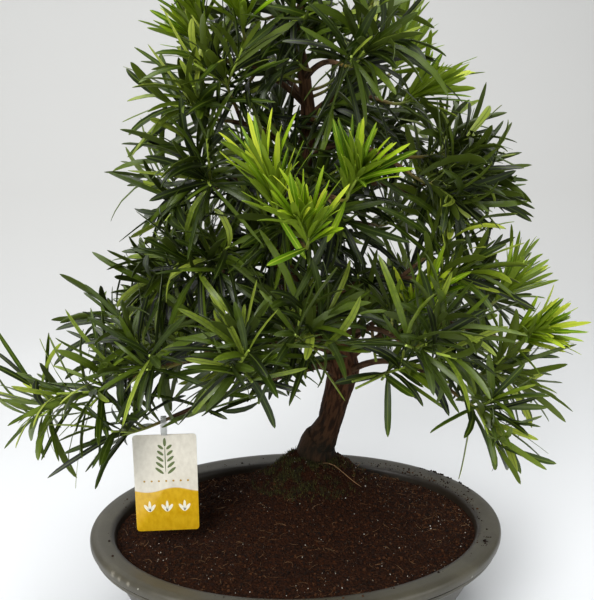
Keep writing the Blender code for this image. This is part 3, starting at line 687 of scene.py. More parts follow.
trunkShape = {
    # x, y, z and radius, from the soil to the crown
    "path": ((0.025, 0.071, 0.124, 0.0170), (0.030, 0.070, 0.138, 0.0146), (0.037, 0.068, 0.156, 0.0114),
             (0.042, 0.066, 0.178, 0.0122), (0.047, 0.063, 0.200, 0.0134), (0.049, 0.061, 0.214, 0.0150),
             (0.042, 0.055, 0.238, 0.0122), (0.022, 0.048, 0.268, 0.0110), (0.000, 0.041, 0.298, 0.0102),
             (-0.012, 0.036, 0.330, 0.0094), (-0.006, 0.031, 0.366, 0.0084), (0.004, 0.027, 0.402, 0.0074),
             (0.011, 0.023, 0.440, 0.0064), (0.008, 0.019, 0.480, 0.0052), (0.002, 0.015, 0.516, 0.0042),
             (0.006, 0.009, 0.552, 0.0030), (0.009, 0.005, 0.585, 0.0019)),
    "rootZ": 0.052,
    "rootRadius": 0.0172,
    "sides": 56,
    "spacing": 0.0026,
    "ridge": 0.0009,  # height of the bark's strips where the trunk is as thick as ridgeRadius
    "ridgeRadius": 0.013,
    "stripWidth": 0.0022,
    "stripLength": 0.020,
    "stripTwist": 4,  # radians round the trunk for each metre along it
    "youngRadius": 0.0085,  # on wood this thick the bark is one quarter young, and more on thinner wood
    "flare": 0.006,  # how far the trunk's foot spreads, below flareZ and fading out above it
    "flareZ": 0.118,
    "flareFade": 0.010,
}
# The height at which each branch leaves the trunk, where its wood ends, how far its middle arches up, how
# many leafy twigs it carries, how much they turn to the light, and if they are old, this summer's or new.
branches = {
    "low_left": (0.210, (-0.176, -0.003, 0.222), 0.024, 3, 0.15, "mid"),
    "label_branch": (0.222, (-0.110, -0.027, 0.206), 0.005, 1, 0.10, "old"),
    "low_front": (0.236, (-0.036, -0.075, 0.272), 0.012, 2, 0.45, "old"),
    "low_front_left": (0.230, (-0.092, -0.039, 0.262), 0.014, 1, 0.40, "old"),
    "low_right": (0.206, (0.124, -0.055, 0.234), 0.020, 3, 0.12, "mid"),
    "right": (0.218, (0.154, -0.021, 0.274), 0.022, 3, 0.50, "new"),
    "low_front_right": (0.242, (0.076, -0.075, 0.286), 0.012, 1, 0.40, "old"),
    "mid_left": (0.286, (-0.070, 0.011, 0.318), 0.014, 2, 0.50, "old"),
    "mid_right": (0.276, (0.098, -0.023, 0.322), 0.012, 2, 0.60, "mid"),
    "front_low": (0.330, (-0.003, -0.089, 0.368), 0.008, 1, 1.50, "new"),
    "front_left": (0.362, (-0.018, -0.055, 0.388), 0.008, 1, 1.60, "new"),
    "front_right": (0.366, (0.024, -0.063, 0.398), 0.008, 1, 1.60, "new"),
    "upper_left": (0.380, (-0.056, 0.027, 0.396), 0.012, 2, 0.30, "old"),
    "upper_left_front": (0.412, (-0.052, -0.001, 0.450), 0.008, 2, 0.80, "mid"),
    "upper_right": (0.366, (0.108, 0.013, 0.384), 0.020, 2, 0.20, "old"),
    "upper_right_front": (0.418, (0.086, -0.009, 0.412), 0.014, 2, 0.40, "old"),
    "top_left": (0.460, (-0.044, 0.003, 0.494), 0.006, 2, 0.60, "new"),
    "top_right": (0.450, (0.062, 0.007, 0.468), 0.010, 2, 0.70, "new"),
    "top_front": (0.482, (0.028, -0.043, 0.496), 0.006, 1, 0.60, "old"),
    "low_back_left": (0.224, (-0.086, 0.129, 0.238), 0.022, 2, 0.30, "old"),
    "low_back": (0.250, (0.034, 0.153, 0.240), 0.018, 1, 0.30, "old"),
    "low_back_right": (0.228, (0.136, 0.115, 0.240), 0.020, 2, 0.30, "mid"),
    "far_left": (0.262, (-0.116, 0.061, 0.262), 0.016, 1, 0.30, "old"),
    "far_right": (0.258, (0.124, 0.047, 0.290), 0.014, 1, 0.40, "old"),
    "mid_back_left": (0.316, (-0.056, 0.103, 0.332), 0.012, 1, 0.40, "old"),
    "mid_back_right": (0.330, (0.078, 0.111, 0.342), 0.012, 1, 0.50, "mid"),
    "upper_back": (0.386, (-0.026, 0.107, 0.402), 0.010, 1, 0.50, "old"),
    "upper_back_right": (0.410, (0.062, 0.087, 0.424), 0.008, 1, 0.60, "old"),
    "top_back": (0.462, (-0.018, 0.071, 0.488), 0.006, 1, 0.70, "mid"),
    "crown_left": (0.520, (-0.034, 0.005, 0.544), 0.004, 1, 0.90, "old"),
    "crown_right": (0.512, (0.032, 0.003, 0.530), 0.004, 1, 0.90, "mid"),
}
branchShape = {
    "crownTone": "old",
    "stations": 5,
    "footRadius": (0.0022, 0.008),  # at least, and what each metre of the branch adds
    "endRadius": 0.0017,
    "spurLength": 0.016,
    "spurRadius": 0.0016,
    "spurFoot": 1.25,  # its radius at the foot, as a share of spurRadius
    "spurFirst": 0.50,
    "spurLast": 0.86,
    "spurTurn": 52,  # degrees from the branch, to either side
    "spurSway": 0.2,  # radians more or less
    "spurRise": (0.25, 0.6),  # how much it turns up, and what the branch's turn to the light adds
    "spurTwigRise": 0.4,
    "sides": 14,
    "spacing": 0.005,
}
twigShape = {
    "length": 0.042,
    "lengthVaries": (0.92, 1.1),
    "radius": 0.0015,
    "sideRadius": 0.85,  # of a side shoot, as a share of its stem's
    "taper": 0.25,
    "sides": 8,
    "spacing": 0.004,
    "tint": (0.1, 0.4, 0.8),  # at a stem's foot, at a side shoot's, and how much it gains to the tip
    "sideAt": 0.30,
    "sideLength": 0.030,
    "sideBend": (0.3, 0.15),  # how much a side shoot turns along its stem, and up
    "solidLeafy": (0.42, 0.56),  # where a stem's leaves begin in the solids, and their share of it
    "sideOpening": {"old": 54, "mid": 54, "new": 34},  # degrees between a side shoot and its stem
    # leaves on the stem and its side shoot, as in the solids
    "solidLeaves": {"old": (4, 3), "mid": (4, 3), "new": (5, 2)},
    # all leaves on the stem, on its side shoot and on each further side shoot
    "leaves": {"old": (17, 13, 12), "mid": (16, 12, 11), "new": (38, 20, 12)},
    "density": {"low_left": 0.85, "label_branch": 0.7, "far_left": 0.7},  # share of the leaves on it
    "furtherShoots": {"old": 3, "mid": 2, "new": 0},
    "furtherAt": (0.0, 0.7),
    "furtherOpening": (-12, 8),  # degrees more or less than sideOpening
    "furtherLength": (0.024, 0.042),
    "ripenessAndShade": {"front_right_1": -0.28},  # how much darker a fan of new leaves has already turned
    "lowestLeaf": {"old": 0.16, "mid": 0.16, "new": 0.56},  # share of the stem below which it is bare
    "goldenAngle": math.radians(137.5),
}
leafShape = {
    "length": {"old": 0.062, "mid": 0.060, "new": 0.054},
    "width": {"old": 0.0068, "mid": 0.0066, "new": 0.0056},
    "openingAtTip": {"old": 22, "mid": 20, "new": 10},  # degrees between a leaf and its stem
    "openingAtFoot": {"old": 80, "mid": 72, "new": 38},
    "droop": {"old": 0.60, "mid": 0.45, "new": 0.18},  # radians that a leaf bends over its length
    "roll": 0.8,  # radians that a leaf may be turned about its midrib, either way
    "vary": {"opening": (-9, 9), "length": (0.82, 1.12), "width": (0.88, 1.10), "droop": (0.3, 1.7)},
    "shortening": 0.18,  # how much shorter leaves get towards their stem's tip
    "turn": 0.5,  # radians that a leaf may stand off from its place round the stem, either way
    "lowestZ": 0.110,
    "thickness": 0.00045,
}
# How the leaves between the solids' ones vary: their turn in radians and their size as shares.
looseShape = {
    "turn": 0.6,
    "spread": {"old": 0.34, "mid": 0.30, "new": 0.12},
    "length": {"old": (0.78, 1.30), "mid": (0.78, 1.30), "new": (0.75, 1.08)},
    "width": {"old": (0.56, 0.98), "mid": (0.56, 0.98), "new": (0.58, 0.84)},
    "droop": {"old": (0.6, 1.9), "mid": (0.6, 1.9), "new": (0.4, 1.6)},
    "roll": {"old": 1.45, "mid": 1.45, "new": 1.0},
    "gather": {"old": 0.25, "mid": 0.30, "new": 0.15},  # how far they close up towards their stem's tip
    "lift": {"old": 0.10, "mid": 0.16, "new": 0.06},  # and turn up to the light
    "budFrom": 0.9,  # share of the stem past which leaves are shorter and narrower
    "budLength": (0.45, 0.8),
    "budWidth": 0.8,
}
crownShape = {
    # x and height along the crown's underside, high over the trunk, which is in sight
    "floor": ((-0.250, 0.176), (-0.210, 0.153), (-0.173, 0.128), (-0.143, 0.175), (-0.085, 0.187),
              (-0.041, 0.198), (0.005, 0.214), (0.024, 0.244), (0.070, 0.244), (0.094, 0.206),
              (0.117, 0.174), (0.143, 0.137), (0.200, 0.120), (0.250, 0.150)),
    "rise": 0.40,  # how much the underside rises for each metre towards the front
    # x, y, z and radius of the open places in the crown, the last ones round the upper trunk
    "gaps": ((0.150, -0.015, 0.352, 0.034), (0.172, -0.020, 0.322, 0.026), (-0.170, 0.000, 0.311, 0.032),
             (-0.140, 0.000, 0.375, 0.034), (-0.125, 0.010, 0.545, 0.030), (0.128, 0.005, 0.520, 0.032),
             (0.008, -0.050, 0.479, 0.021), (0.011, -0.015, 0.478, 0.021), (0.014, 0.020, 0.476, 0.021),
             (0.018, 0.055, 0.474, 0.021), (0.021, 0.090, 0.472, 0.021)),
}
planShape = {
    "gap": 0.00035,
    "tries": 24,
    "retryTurn": 0.25,  # how far a stem's direction may change at each new try
    "clearance": 0.0010,
    "ownRoom": 0.45,  # share of the clearance that leaves of one twig keep from each other
    "seed": 11,
}
labelShape = {
    "size": Vector((0.054, 0.0008, 0.091)),
    "corner": 0.003,
    "rim": 0.00015,
    "strapWidth": 0.0045,
    "strapThickness": 0.0010,
    "loopHalfDepth": 0.0062,
    "loopHalfHeight": 0.0075,
    "loopAbove": 0.0029,
    "twig": "label_branch_1",
    "strapReach": 0.006,
    "inSight": Vector((0.08, -1.0, 0.50)),  # the way a reader looks at it from, kept free of leaves
    "sightDepth": 0.090,
}
trunkPoints = [Vector(spot[:3]) for spot in trunkShape["path"]]
trunkRadii = [spot[3] for spot in trunkShape["path"]]


def trunkPointAt(height):
    for low, high in zip(trunkPoints, trunkPoints[1:]):
        if low.z <= height <= high.z:
            return low.lerp(high, (height - low.z) / (high.z - low.z))
    return trunkPoints[-1].copy()


def archedPoint(start, end, arch, share):
    return start.lerp(end, share) + up * (4 * arch * share * (1 - share))


# Balls strung along everything placed so far, so that a new stem or leaf can keep clear of the rest.
class Crowd:
    def __init__(self):
        self.centres = np.empty((0, 3))
        self.radii = np.empty(0)
        self.owners = np.empty(0, int)

    def add(self, balls, owner):
        self.centres = np.vstack([self.centres, [tuple(centre) for centre, _ in balls]])
        self.radii = np.append(self.radii, [radius for _, radius in balls])
        self.owners = np.append(self.owners, [owner] * len(balls))

    def isClear(self, balls, owner, ownFrom=0):
        centres = np.array([tuple(centre) for centre, _ in balls])
        radii = np.array([radius for _, radius in balls])
        apart = np.linalg.norm(centres[:, None] - self.centres[None], axis=2)
        need = radii[:, None] + self.radii[None] + planShape["clearance"]
        own = self.owners == owner
        need[:, own] *= planShape["ownRoom"]
        need[:ownFrom, own] = 0
        return bool((apart > need).all())


def ballsAlong(points, radii, spacing=0.004):
    balls = []
    for a, b, ra, rb in zip(points, points[1:], radii, radii[1:]):
        count = max(1, math.ceil((b - a).length / spacing))
        balls += [(a.lerp(b, k / count), ra + (rb - ra) * k / count) for k in range(count)]
    return balls + [(points[-1], radii[-1])]


# A point on a leaf's midrib, an arc that starts along the leaf's direction and bends over.
def leafLine(leaf, share):
    angle = leaf["droop"] * share
    along = math.sin(angle) / leaf["droop"]
    over = (1 - math.cos(angle)) / leaf["droop"]
    return leaf["root"] + (leaf["direction"] * along + leaf["bend"] * over) * leaf["length"]


def leafBalls(leaf):
    shares = [k / 16 for k in range(1, 17)]
    widths = [min(1, 3.4 * s, 2.6 * (1 - s) + 0.25) for s in shares]
    return [(leafLine(leaf, s), leaf["width"] * w / 2) for s, w in zip(shares, widths)]


# A direction that opens from the given one by one angle, at another angle round it.
def openedFrom(direction, opening, around):
    across = math.sin(opening)
    spread = Vector((across * math.cos(around), across * math.sin(around), math.cos(opening)))
    return direction.to_track_quat("Z", "Y") @ spread


# A leaf at one place on a stem: 0 at the stem's foot, where it opens wide, and 1 at its tip.
def planLeaf(draw, root, axis, place, around, tone):
    shape = leafShape
    foot, tip = shape["openingAtFoot"][tone], shape["openingAtTip"][tone]
    opening = math.radians(foot + (tip - foot) * place + draw.uniform(*shape["vary"]["opening"]))
    direction = openedFrom(axis, opening, around)
    sink = (direction - axis * direction.dot(axis)).normalized() - up * 0.5
    bend = (sink - direction * sink.dot(direction)).normalized()
    leaf = {"root": root, "direction": direction, "bend": bend, "place": place}
    for measure in ("length", "width", "droop"):
        leaf[measure] = shape[measure][tone] * draw.uniform(*shape["vary"][measure])
    leaf["length"] *= 1 - shape["shortening"] * place
    leaf["roll"] = draw.uniform(-shape["roll"], shape["roll"])
    return leaf


# The branches and spurs as (points, radii), and the place where each leafy twig starts.
def planWood():
    draw = random.Random(planShape["seed"])
    shape = branchShape
    first, last = shape["spurFirst"], shape["spurLast"]
    sway = shape["spurSway"]
    rise, gain = shape["spurRise"]
    limbs = []
    places = []
    for name, (height, end, arch, count, lift, tone) in branches.items():
        start = trunkPointAt(height)
        end = Vector(end)
        shares = [k / (shape["stations"] - 1) for k in range(shape["stations"])]
        points = [archedPoint(start, end, arch, share) for share in shares]
        least, growth = shape["footRadius"]
        foot = least + growth * (end - start).length
        limbs.append((points, [foot + (shape["endRadius"] - foot) * share for share in shares]))
        heading = (points[-1] - points[-2]).normalized()
        places.append((f"{name}_1", points[-1], (heading + up * lift).normalized(), heading, tone))
        for k in range(1, count):
            root = archedPoint(start, end, arch, last - (last - first) * (k - 1) / max(1, count - 2))
            side = math.radians(shape["spurTurn"]) * (1 if k % 2 else -1) + draw.uniform(-sway, sway)
            out = (Matrix.Rotation(side, 3, "Z") @ heading + up * (rise + gain * lift)).normalized()
            tip = root + out * shape["spurLength"]
            limbs.append(([root, tip], [shape["spurRadius"] * shape["spurFoot"], shape["spurRadius"]]))
            direction = (out + up * shape["spurTwigRise"] * lift).normalized()
            places.append((f"{name}_{k + 1}", tip, direction, out, tone))
    lead = (trunkPoints[-1] - trunkPoints[-2]).normalized()
    places.append(("crown_1", trunkPoints[-1], lead, lead, shape["crownTone"]))
    return limbs, places


def labelHang(places):
    foot, heading = next((place[1], place[3]) for place in places if place[0] == labelShape["twig"])
    return foot + heading * labelShape["strapReach"]


def labelTop(hang):
    shape = labelShape
    return hang + up * (shape["loopAbove"] - 2 * shape["loopHalfHeight"] - shape["strapThickness"] / 2)


# Balls over the strap, the card and the way it is seen.
def labelBalls(hang):
    top = labelTop(hang)
    step = labelShape["size"].x / 6
    columns = [(k - 2.5) * step for k in range(6)]
    rows = [(k + 0.5) * step for k in range(10)]
    layers = [labelShape["inSight"] * (k * step) for k in range(round(labelShape["sightDepth"] / step))]
    spots = [top + layer + Vector((x, 0, -z)) for x in columns for layer in layers for z in rows]
    radius = labelShape["strapWidth"] * 0.4
    loop = [(hang + Vector((0, y, -z)), radius) for y in (-0.006, 0.006) for z in (0, 0.004)]
    return [(spot, step * 0.55) for spot in spots] + loop


# The wood and the label, which every leaf keeps clear of.
def woodCrowd(wood, places):
    crowd = Crowd()
    for points, radii in wood:
        crowd.add(ballsAlong(points, radii), -1)
    crowd.add(labelBalls(labelHang(places)), -2)
    return crowd


# The stems and leaves that the solids have, each clear of the wood, the label and the other twigs.
def planTwigs(limbs, places):
    draw = random.Random(planShape["seed"] + 1)
    root = trunkFoot + up * trunkShape["rootZ"]
    crowd = woodCrowd([([root] + trunkPoints, [trunkShape["rootRadius"]] + trunkRadii)] + limbs, places)
    shape = twigShape
    radii = [shape["radius"], shape["radius"], shape["radius"] * 0.9]
    turn = planShape["retryTurn"]
    twigs = []
    for owner, (name, foot, direction, heading, tone) in enumerate(places):
        start = foot + heading * planShape["gap"]
        for _ in range(planShape["tries"]):
            half = shape["length"] * draw.uniform(*shape["lengthVaries"]) / 2
            bend = start + heading.normalized() * half
            main = [start, bend, bend + direction.normalized() * half]
            balls = ballsAlong([main[0].lerp(main[1], 0.3), *main[1:]], radii)
            around = draw.uniform(0, 2 * math.pi)
            leave = bend.lerp(main[2], shape["sideAt"])
            opening = math.radians(shape["sideOpening"][tone])
            side = [leave, sideTip(leave, direction, opening, around, shape["sideLength"])]
            balls += ballsAlong([side[0].lerp(side[1], 0.2), side[1]], [shape["radius"] * 0.8] * 2)
            if crowd.isClear(balls, owner):
                break
            direction = (direction + Vector([draw.uniform(-turn, turn) for _ in range(3)])).normalized()
        crowd.add(balls, owner)
        twigs.append({"name": name, "tone": tone, "stems": [main, side], "leaves": [[], []]})
    for owner, twig in enumerate(twigs):
        for part, count in enumerate(shape["solidLeaves"][twig["tone"]]):
            setLeaves(draw, crowd, owner, twig, part, count)
    return twigs


# Where a side shoot ends that opens from a stem's direction and bends back to it and to the light.
def sideTip(foot, direction, opening, around, length):
    aside = openedFrom(direction, opening, around)
    forward, rise = twigShape["sideBend"]
    return foot + (aside + direction * forward + up * rise).normalized() * length


# The places of a stem's leaves, each as its share of the leafy part, its point, its stretch and its turn.
def leafSpots(draw, stem, count, first, leafy):
    around = draw.uniform(0, 2 * math.pi)
    for k in range(count):
        place = (k + 0.5) / count
        reach = (first + leafy * place) * (len(stem) - 1)
        stretch = min(int(reach), len(stem) - 2)
        around += twigShape["goldenAngle"]
        yield place, stem[stretch].lerp(stem[stretch + 1], reach - stretch), stretch, around


def setLeaves(draw, crowd, owner, twig, part, count):
    stem = twig["stems"][part]
    turn = leafShape["turn"]
    for place, root, stretch, around in leafSpots(draw, stem, count, *twigShape["solidLeafy"]):
        axis = (stem[stretch + 1] - stem[stretch]).normalized()
        for _ in range(planShape["tries"]):
            leaf = planLeaf(draw, root, axis, place, around + draw.uniform(-turn, turn), twig["tone"])
            balls = leafBalls(leaf)
            lowest = min(centre.z for centre, _ in balls)
            if lowest > leafShape["lowestZ"] and crowd.isClear(balls, owner, ownFrom=2):
                crowd.add(balls, owner)
                twig["leaves"][part].append(leaf)
                break


def insideBox(points, margin=0.0012):
    low = cadBox[0] - plantPlace
    high = cadBox[1] - plantPlace
    return all(low[k] + margin < point[k] < high[k] - margin for point in points for k in range(3))


# Whether a leaf stays above the crown's underside and out of the open places between its clouds.
def inCrown(spots):
    xs, heights = zip(*crownShape["floor"])
    for spot in spots:
        floor = np.interp(spot.x, xs, heights) - crownShape["rise"] * spot.y
        if spot.z < max(leafShape["lowestZ"], floor):
            return False
        if any((spot - Vector(gap[:3])).length < gap[3] for gap in crownShape["gaps"]):
            return False
    return True


# Makes a planned leaf less regular in its direction, size, turn and bend.
def loosen(draw, leaf, axis, tone):
    spread = looseShape["spread"][tone]
    aside = Vector([draw.uniform(-spread, spread) for _ in range(3)])
    aside += axis * looseShape["gather"][tone] + up * looseShape["lift"][tone]
    leaf["direction"] = (leaf["direction"] + aside).normalized()
    leaf["bend"] = (leaf["bend"] - leaf["direction"] * leaf["bend"].dot(leaf["direction"])).normalized()
    for measure in ("length", "width", "droop"):
        leaf[measure] *= draw.uniform(*looseShape[measure][tone])
    leaf["roll"] = draw.uniform(-looseShape["roll"][tone], looseShape["roll"][tone])


# Further side shoots and leaves on a twig of the solids.
def fillTwig(draw, crowd, twig):
    shape = twigShape
    tone = twig["tone"]
    main = twig["stems"][0]
    direction = (main[2] - main[1]).normalized()
    density = shape["density"].get(twig["name"].rsplit("_", 1)[0], 1)
    for _ in range(round(shape["furtherShoots"][tone] * density)):
        for _ in range(planShape["tries"]):
            root = main[1].lerp(main[2], draw.uniform(*shape["furtherAt"]))
            opening = math.radians(shape["sideOpening"][tone] + draw.uniform(*shape["furtherOpening"]))
            around = draw.uniform(0, 2 * math.pi)
            tip = sideTip(root, direction, opening, around, draw.uniform(*shape["furtherLength"]))
            if crowd.isClear(ballsAlong([root.lerp(tip, 0.4), tip], [shape["radius"]] * 2), 0):
                twig["stems"].append([root, tip])
                twig["leaves"].append([])
                break
    for part, stem in enumerate(twig["stems"]):
        count = round(shape["leaves"][tone][min(part, 2)] * density) - len(twig["leaves"][part])
        twig["leaves"][part] += fillStem(draw, crowd, stem, count, tone, shape["lowestLeaf"][tone])


# Leaves round a stem, from the given share of its length to its tip, with the shortest round its bud.
def fillStem(draw, crowd, stem, count, tone, lowest):
    leaves = []
    turn = looseShape["turn"]
    for place, root, stretch, around in leafSpots(draw, stem, count, lowest, 1 - lowest):
        last = len(stem) - 2 if tone == "new" else stretch
        axis = (stem[last + 1] - stem[last]).normalized()
        for _ in range(planShape["tries"] // 2):
            leaf = planLeaf(draw, root, axis, place, around + draw.uniform(-turn, turn), tone)
            loosen(draw, leaf, axis, tone)
            if place > looseShape["budFrom"]:
                leaf["length"] *= draw.uniform(*looseShape["budLength"])
                leaf["width"] *= looseShape["budWidth"]
            balls = leafBalls(leaf)[2:]
            spots = [spot for spot, _ in balls]
            if inCrown(spots) and insideBox(spots) and crowd.isClear(balls, 0):
                leaves.append(leaf)
                break
    return leaves


innerShape = {
    "ripenessAndShade": -0.14,  # painted shade: the inner shoots' leaves are darkened for the shade inside the crown
    "spacing": 0.034,  # along a branch, between the short leafy shoots that grow from its inner part
    "first": 0.22,
    "last": 0.90,
    "length": (0.016, 0.030),
    "opening": (48, 84),  # degrees from the branch
    "leaves": 13,
    "lowestLeaf": 0.45,
    "midShare": 0.3,  # share of the shoots with this summer's leaves
    "trunkFrom": 0.262,
    "trunkSpacing": 0.0085,
    "trunkVaries": (0.6, 1.6),
    "trunkOpening": 0.6,  # radians
    "trunkExtra": 0.012,  # how much longer the shoots on the trunk are
}


# Short shoots that stand on the inner part of every branch and on the upper trunk, and fill the crown.
def planInnerShoots(draw, crowd):
    shape = innerShape
    first, span = shape["first"], shape["last"] - shape["first"]
    spots = []
    for name, (height, end, arch, _, lift, _) in branches.items():
        start, end = trunkPointAt(height), Vector(end)
        number = max(1, round((end - start).length * span / shape["spacing"]))
        for k in range(number):
            share = first + span * (k + draw.random()) / number
            root = archedPoint(start, end, arch, share)
            along = (archedPoint(start, end, arch, share + 0.02) - root).normalized()
            spots.append((name, root, along, lift, "mid" if draw.random() < shape["midShare"] else "old"))
    height = shape["trunkFrom"]
    while height < trunkPoints[-1].z - 0.01:
        around = draw.uniform(0, 2 * math.pi)
        out = Vector((math.cos(around), math.sin(around), 0.3)).normalized()
        spots.append(("trunk", trunkPointAt(height), out, 0.4, "old"))
        height += shape["trunkSpacing"] * draw.uniform(*shape["trunkVaries"])
    shoots = {}
    for name, root, along, lift, tone in spots:
        onTrunk = name == "trunk"
        for _ in range(planShape["tries"]):
            if onTrunk:
                opening = draw.uniform(0, shape["trunkOpening"])
            else:
                opening = math.radians(draw.uniform(*shape["opening"]))
            aside = openedFrom(along, opening, draw.uniform(0, 2 * math.pi))
            direction = (aside + up * (0.3 + 0.2 * lift)).normalized()
            length = draw.uniform(*shape["length"]) + (shape["trunkExtra"] if onTrunk else 0)
            stem = [root, root + aside * length * 0.5, root + (aside + direction).normalized() * length]
            if crowd.isClear(ballsAlong([stem[0].lerp(stem[2], 0.75), stem[2]], [0.0012] * 2), 0):
                count = round(shape["leaves"] * twigShape["density"].get(name, 1))
                leaves = fillStem(draw, crowd, stem, count, tone, shape["lowestLeaf"])
                shoots.setdefault(name, []).append({"tone": tone, "stems": [stem], "leaves": [leaves]})
                break
    return shoots


limbs, twigPlaces = planWood()
twigs = planTwigs(limbs, twigPlaces)
solidWood = woodCrowd([(trunkPoints, trunkRadii)] + limbs, twigPlaces)
fillDraw = random.Random(71)
for twig in twigs:
    fillTwig(fillDraw, solidWood, twig)
innerShoots = planInnerShoots(fillDraw, solidWood)
print("leaves on the twigs:", sum(len(part) for twig in twigs for part in twig["leaves"]))
print("leaves on the inner shoots:",
      sum(len(part) for group in innerShoots.values() for shoot in group for part in shoot["leaves"]))


# How far the bark stands out at one place, from about -1 in a crack to 1 on a strip.
def barkRelief(angle, along, radius):
    ring = radius / trunkShape["stripWidth"]
    turn = angle + along * trunkShape["stripTwist"]
    spot = Vector((math.cos(turn) * ring, math.sin(turn) * ring, along / trunkShape["stripLength"]))
    strips = 1 - 2.4 * abs(noise.noise(spot))
    flakes = noise.noise(Vector((spot.x * 2.3, spot.y * 2.3, along / 0.009)))
    return max(-1, min(1, strips * 0.7 + flakes * 0.6))


def growWood(bm, points, radii, sides, spacing, layers, flare=0.0):
    shape = trunkShape
    path, thickness = smoothPath(points, radii, spacing)
    places = tubePlaces(path, thickness)
    rings = growTube(bm, places, sides)
    along = 0
    for k, (ring, place) in enumerate(zip(rings, places)):
        along += (path[k] - path[k - 1]).length if k else 0
        back = place.inverted()
        for vert in ring:
            local = back @ vert.co
            angle = math.atan2(local.y, local.x)
            relief = barkRelief(angle, along, thickness[k])
            lift = shape["ridge"] * relief * min(1, thickness[k] / shape["ridgeRadius"]) ** 1.1
            if flare:
                low = math.exp(-max(0, path[k].z - shape["flareZ"]) / shape["flareFade"])
                toLeft = 0.5 - 0.5 * (vert.co - path[k]).normalized().x
                lift += flare * low * (0.25 + 0.75 * toLeft) * (0.8 + 0.2 * math.cos(5 * angle))
            vert.co += (vert.co - path[k]).normalized() * lift
            vert[layers[0]] = 0.5 + 0.5 * relief
            vert[layers[1]] = max(0, min(1, 1.25 - thickness[k] / shape["youngRadius"]))


rootShape = {
    # roots that come out of the flare and go down into the soil: heading in degrees, length and radius
    "roots": ((-20, 0.030, 0.0026), (-100, 0.018, 0.0030), (168, 0.034, 0.0034), (96, 0.036, 0.0034),
              (35, 0.030, 0.0030)),
    "start": 0.009,  # from the trunk's middle
    "sway": 0.005,
    "taper": 0.75,
    "heights": (-0.0006, -0.004, 0.005),  # over the soil: all along, what its end adds, what its start adds
    "sides": 12,
    "spacing": 0.003,
}


def rootPath(heading, length):
    angle = math.radians(heading)
    level, atEnd, atStart = rootShape["heights"]
    points = []
    for k in range(9):
        share = k / 8
        out = rootShape["start"] + length * share
        sway = rootShape["sway"] * math.sin(share * 5 + heading)
        spot = trunkFoot + Vector((math.cos(angle) * out - math.sin(angle) * sway,
                                   math.sin(angle) * out + math.cos(angle) * sway, 0))
        height = soilLevel(spot.x, spot.y) + level + atEnd * share ** 2 + atStart * (1 - share) ** 4
        points.append(spot + up * height)
    return points


def makeTrunk():
    bm = bmesh.new()
    layers = [bm.verts.layers.float.new(name) for name in ("relief", "youth")]
    shape = trunkShape
    points = [trunkFoot + up * shape["rootZ"]] + trunkPoints
    radii = [shape["rootRadius"] * 0.98] + trunkRadii
    growWood(bm, points, radii, shape["sides"], shape["spacing"], layers, shape["flare"])
    for points, radii in limbs:
        growWood(bm, points, radii, branchShape["sides"], branchShape["spacing"], layers)
    shape = rootShape
    for heading, length, radius in shape["roots"]:
        radii = [radius * (1 - shape["taper"] * k / 8) for k in range(9)]
        growWood(bm, rootPath(heading, length), radii, shape["sides"], shape["spacing"], layers)
    finishPiece(bm, "trunkAndBranches", ["bark"], ["trunk"])


makeTrunk()
print("trunk and branches made")


bladeShape = {
    "across": (-1, 0, 1),
    # share of the length, share of the half width
    "stations": ((0.0, 0.20), (0.09, 0.48), (0.24, 0.84), (0.44, 1.0), (0.70, 1.0), (0.86, 0.82),
                 (0.955, 0.46), (1.0, 0.06)),
    "fold": (-0.30, 0.40),  # how far the edges stand below or above the midrib, in half widths
    "twist": 0.5,  # radians, either way, from the foot to the tip
    "shortened": (10, 0.98),  # at most so many times by so much, where a leaf would leave the solids' box
    "narrowing": 0.93,  # the solids' blades are a little broader
    "shade": (0.28, 0.29),  # a leaf's middle tint and how much it varies
    "youngShade": 0.38,  # how much lighter the leaves at a stem's tip are
}


# A flat blade of unit half width and length.
def bladeTemplate():
    shape = bladeShape
    bm = bmesh.new()
    uv = bm.loops.layers.uv.new("blade")
    below = bm.verts.layers.float.new("below")
    columns, rows = len(shape["across"]) - 1, len(shape["stations"]) - 1
    bmesh.ops.create_grid(bm, x_segments=columns, y_segments=rows, size=0.5)
    for vert in bm.verts:
        share, half = shape["stations"][round((vert.co.y + 0.5) * rows)]
        vert.co = (shape["across"][round((vert.co.x + 0.5) * columns)] * half, share, 0)
    for face in bm.faces:
        for loop in face.loops:
            loop[uv].uv = (0.5 + 0.5 * loop.vert.co.x, loop.vert.co.y)
    upper = set(bm.verts)
    thickness = 2 * leafShape["thickness"] / leafShape["width"]["mid"]
    bmesh.ops.solidify(bm, geom=list(bm.faces), thickness=thickness)
    for vert in bm.verts:
        vert[below] = vert not in upper
    return meshFrom(bm, "blade")


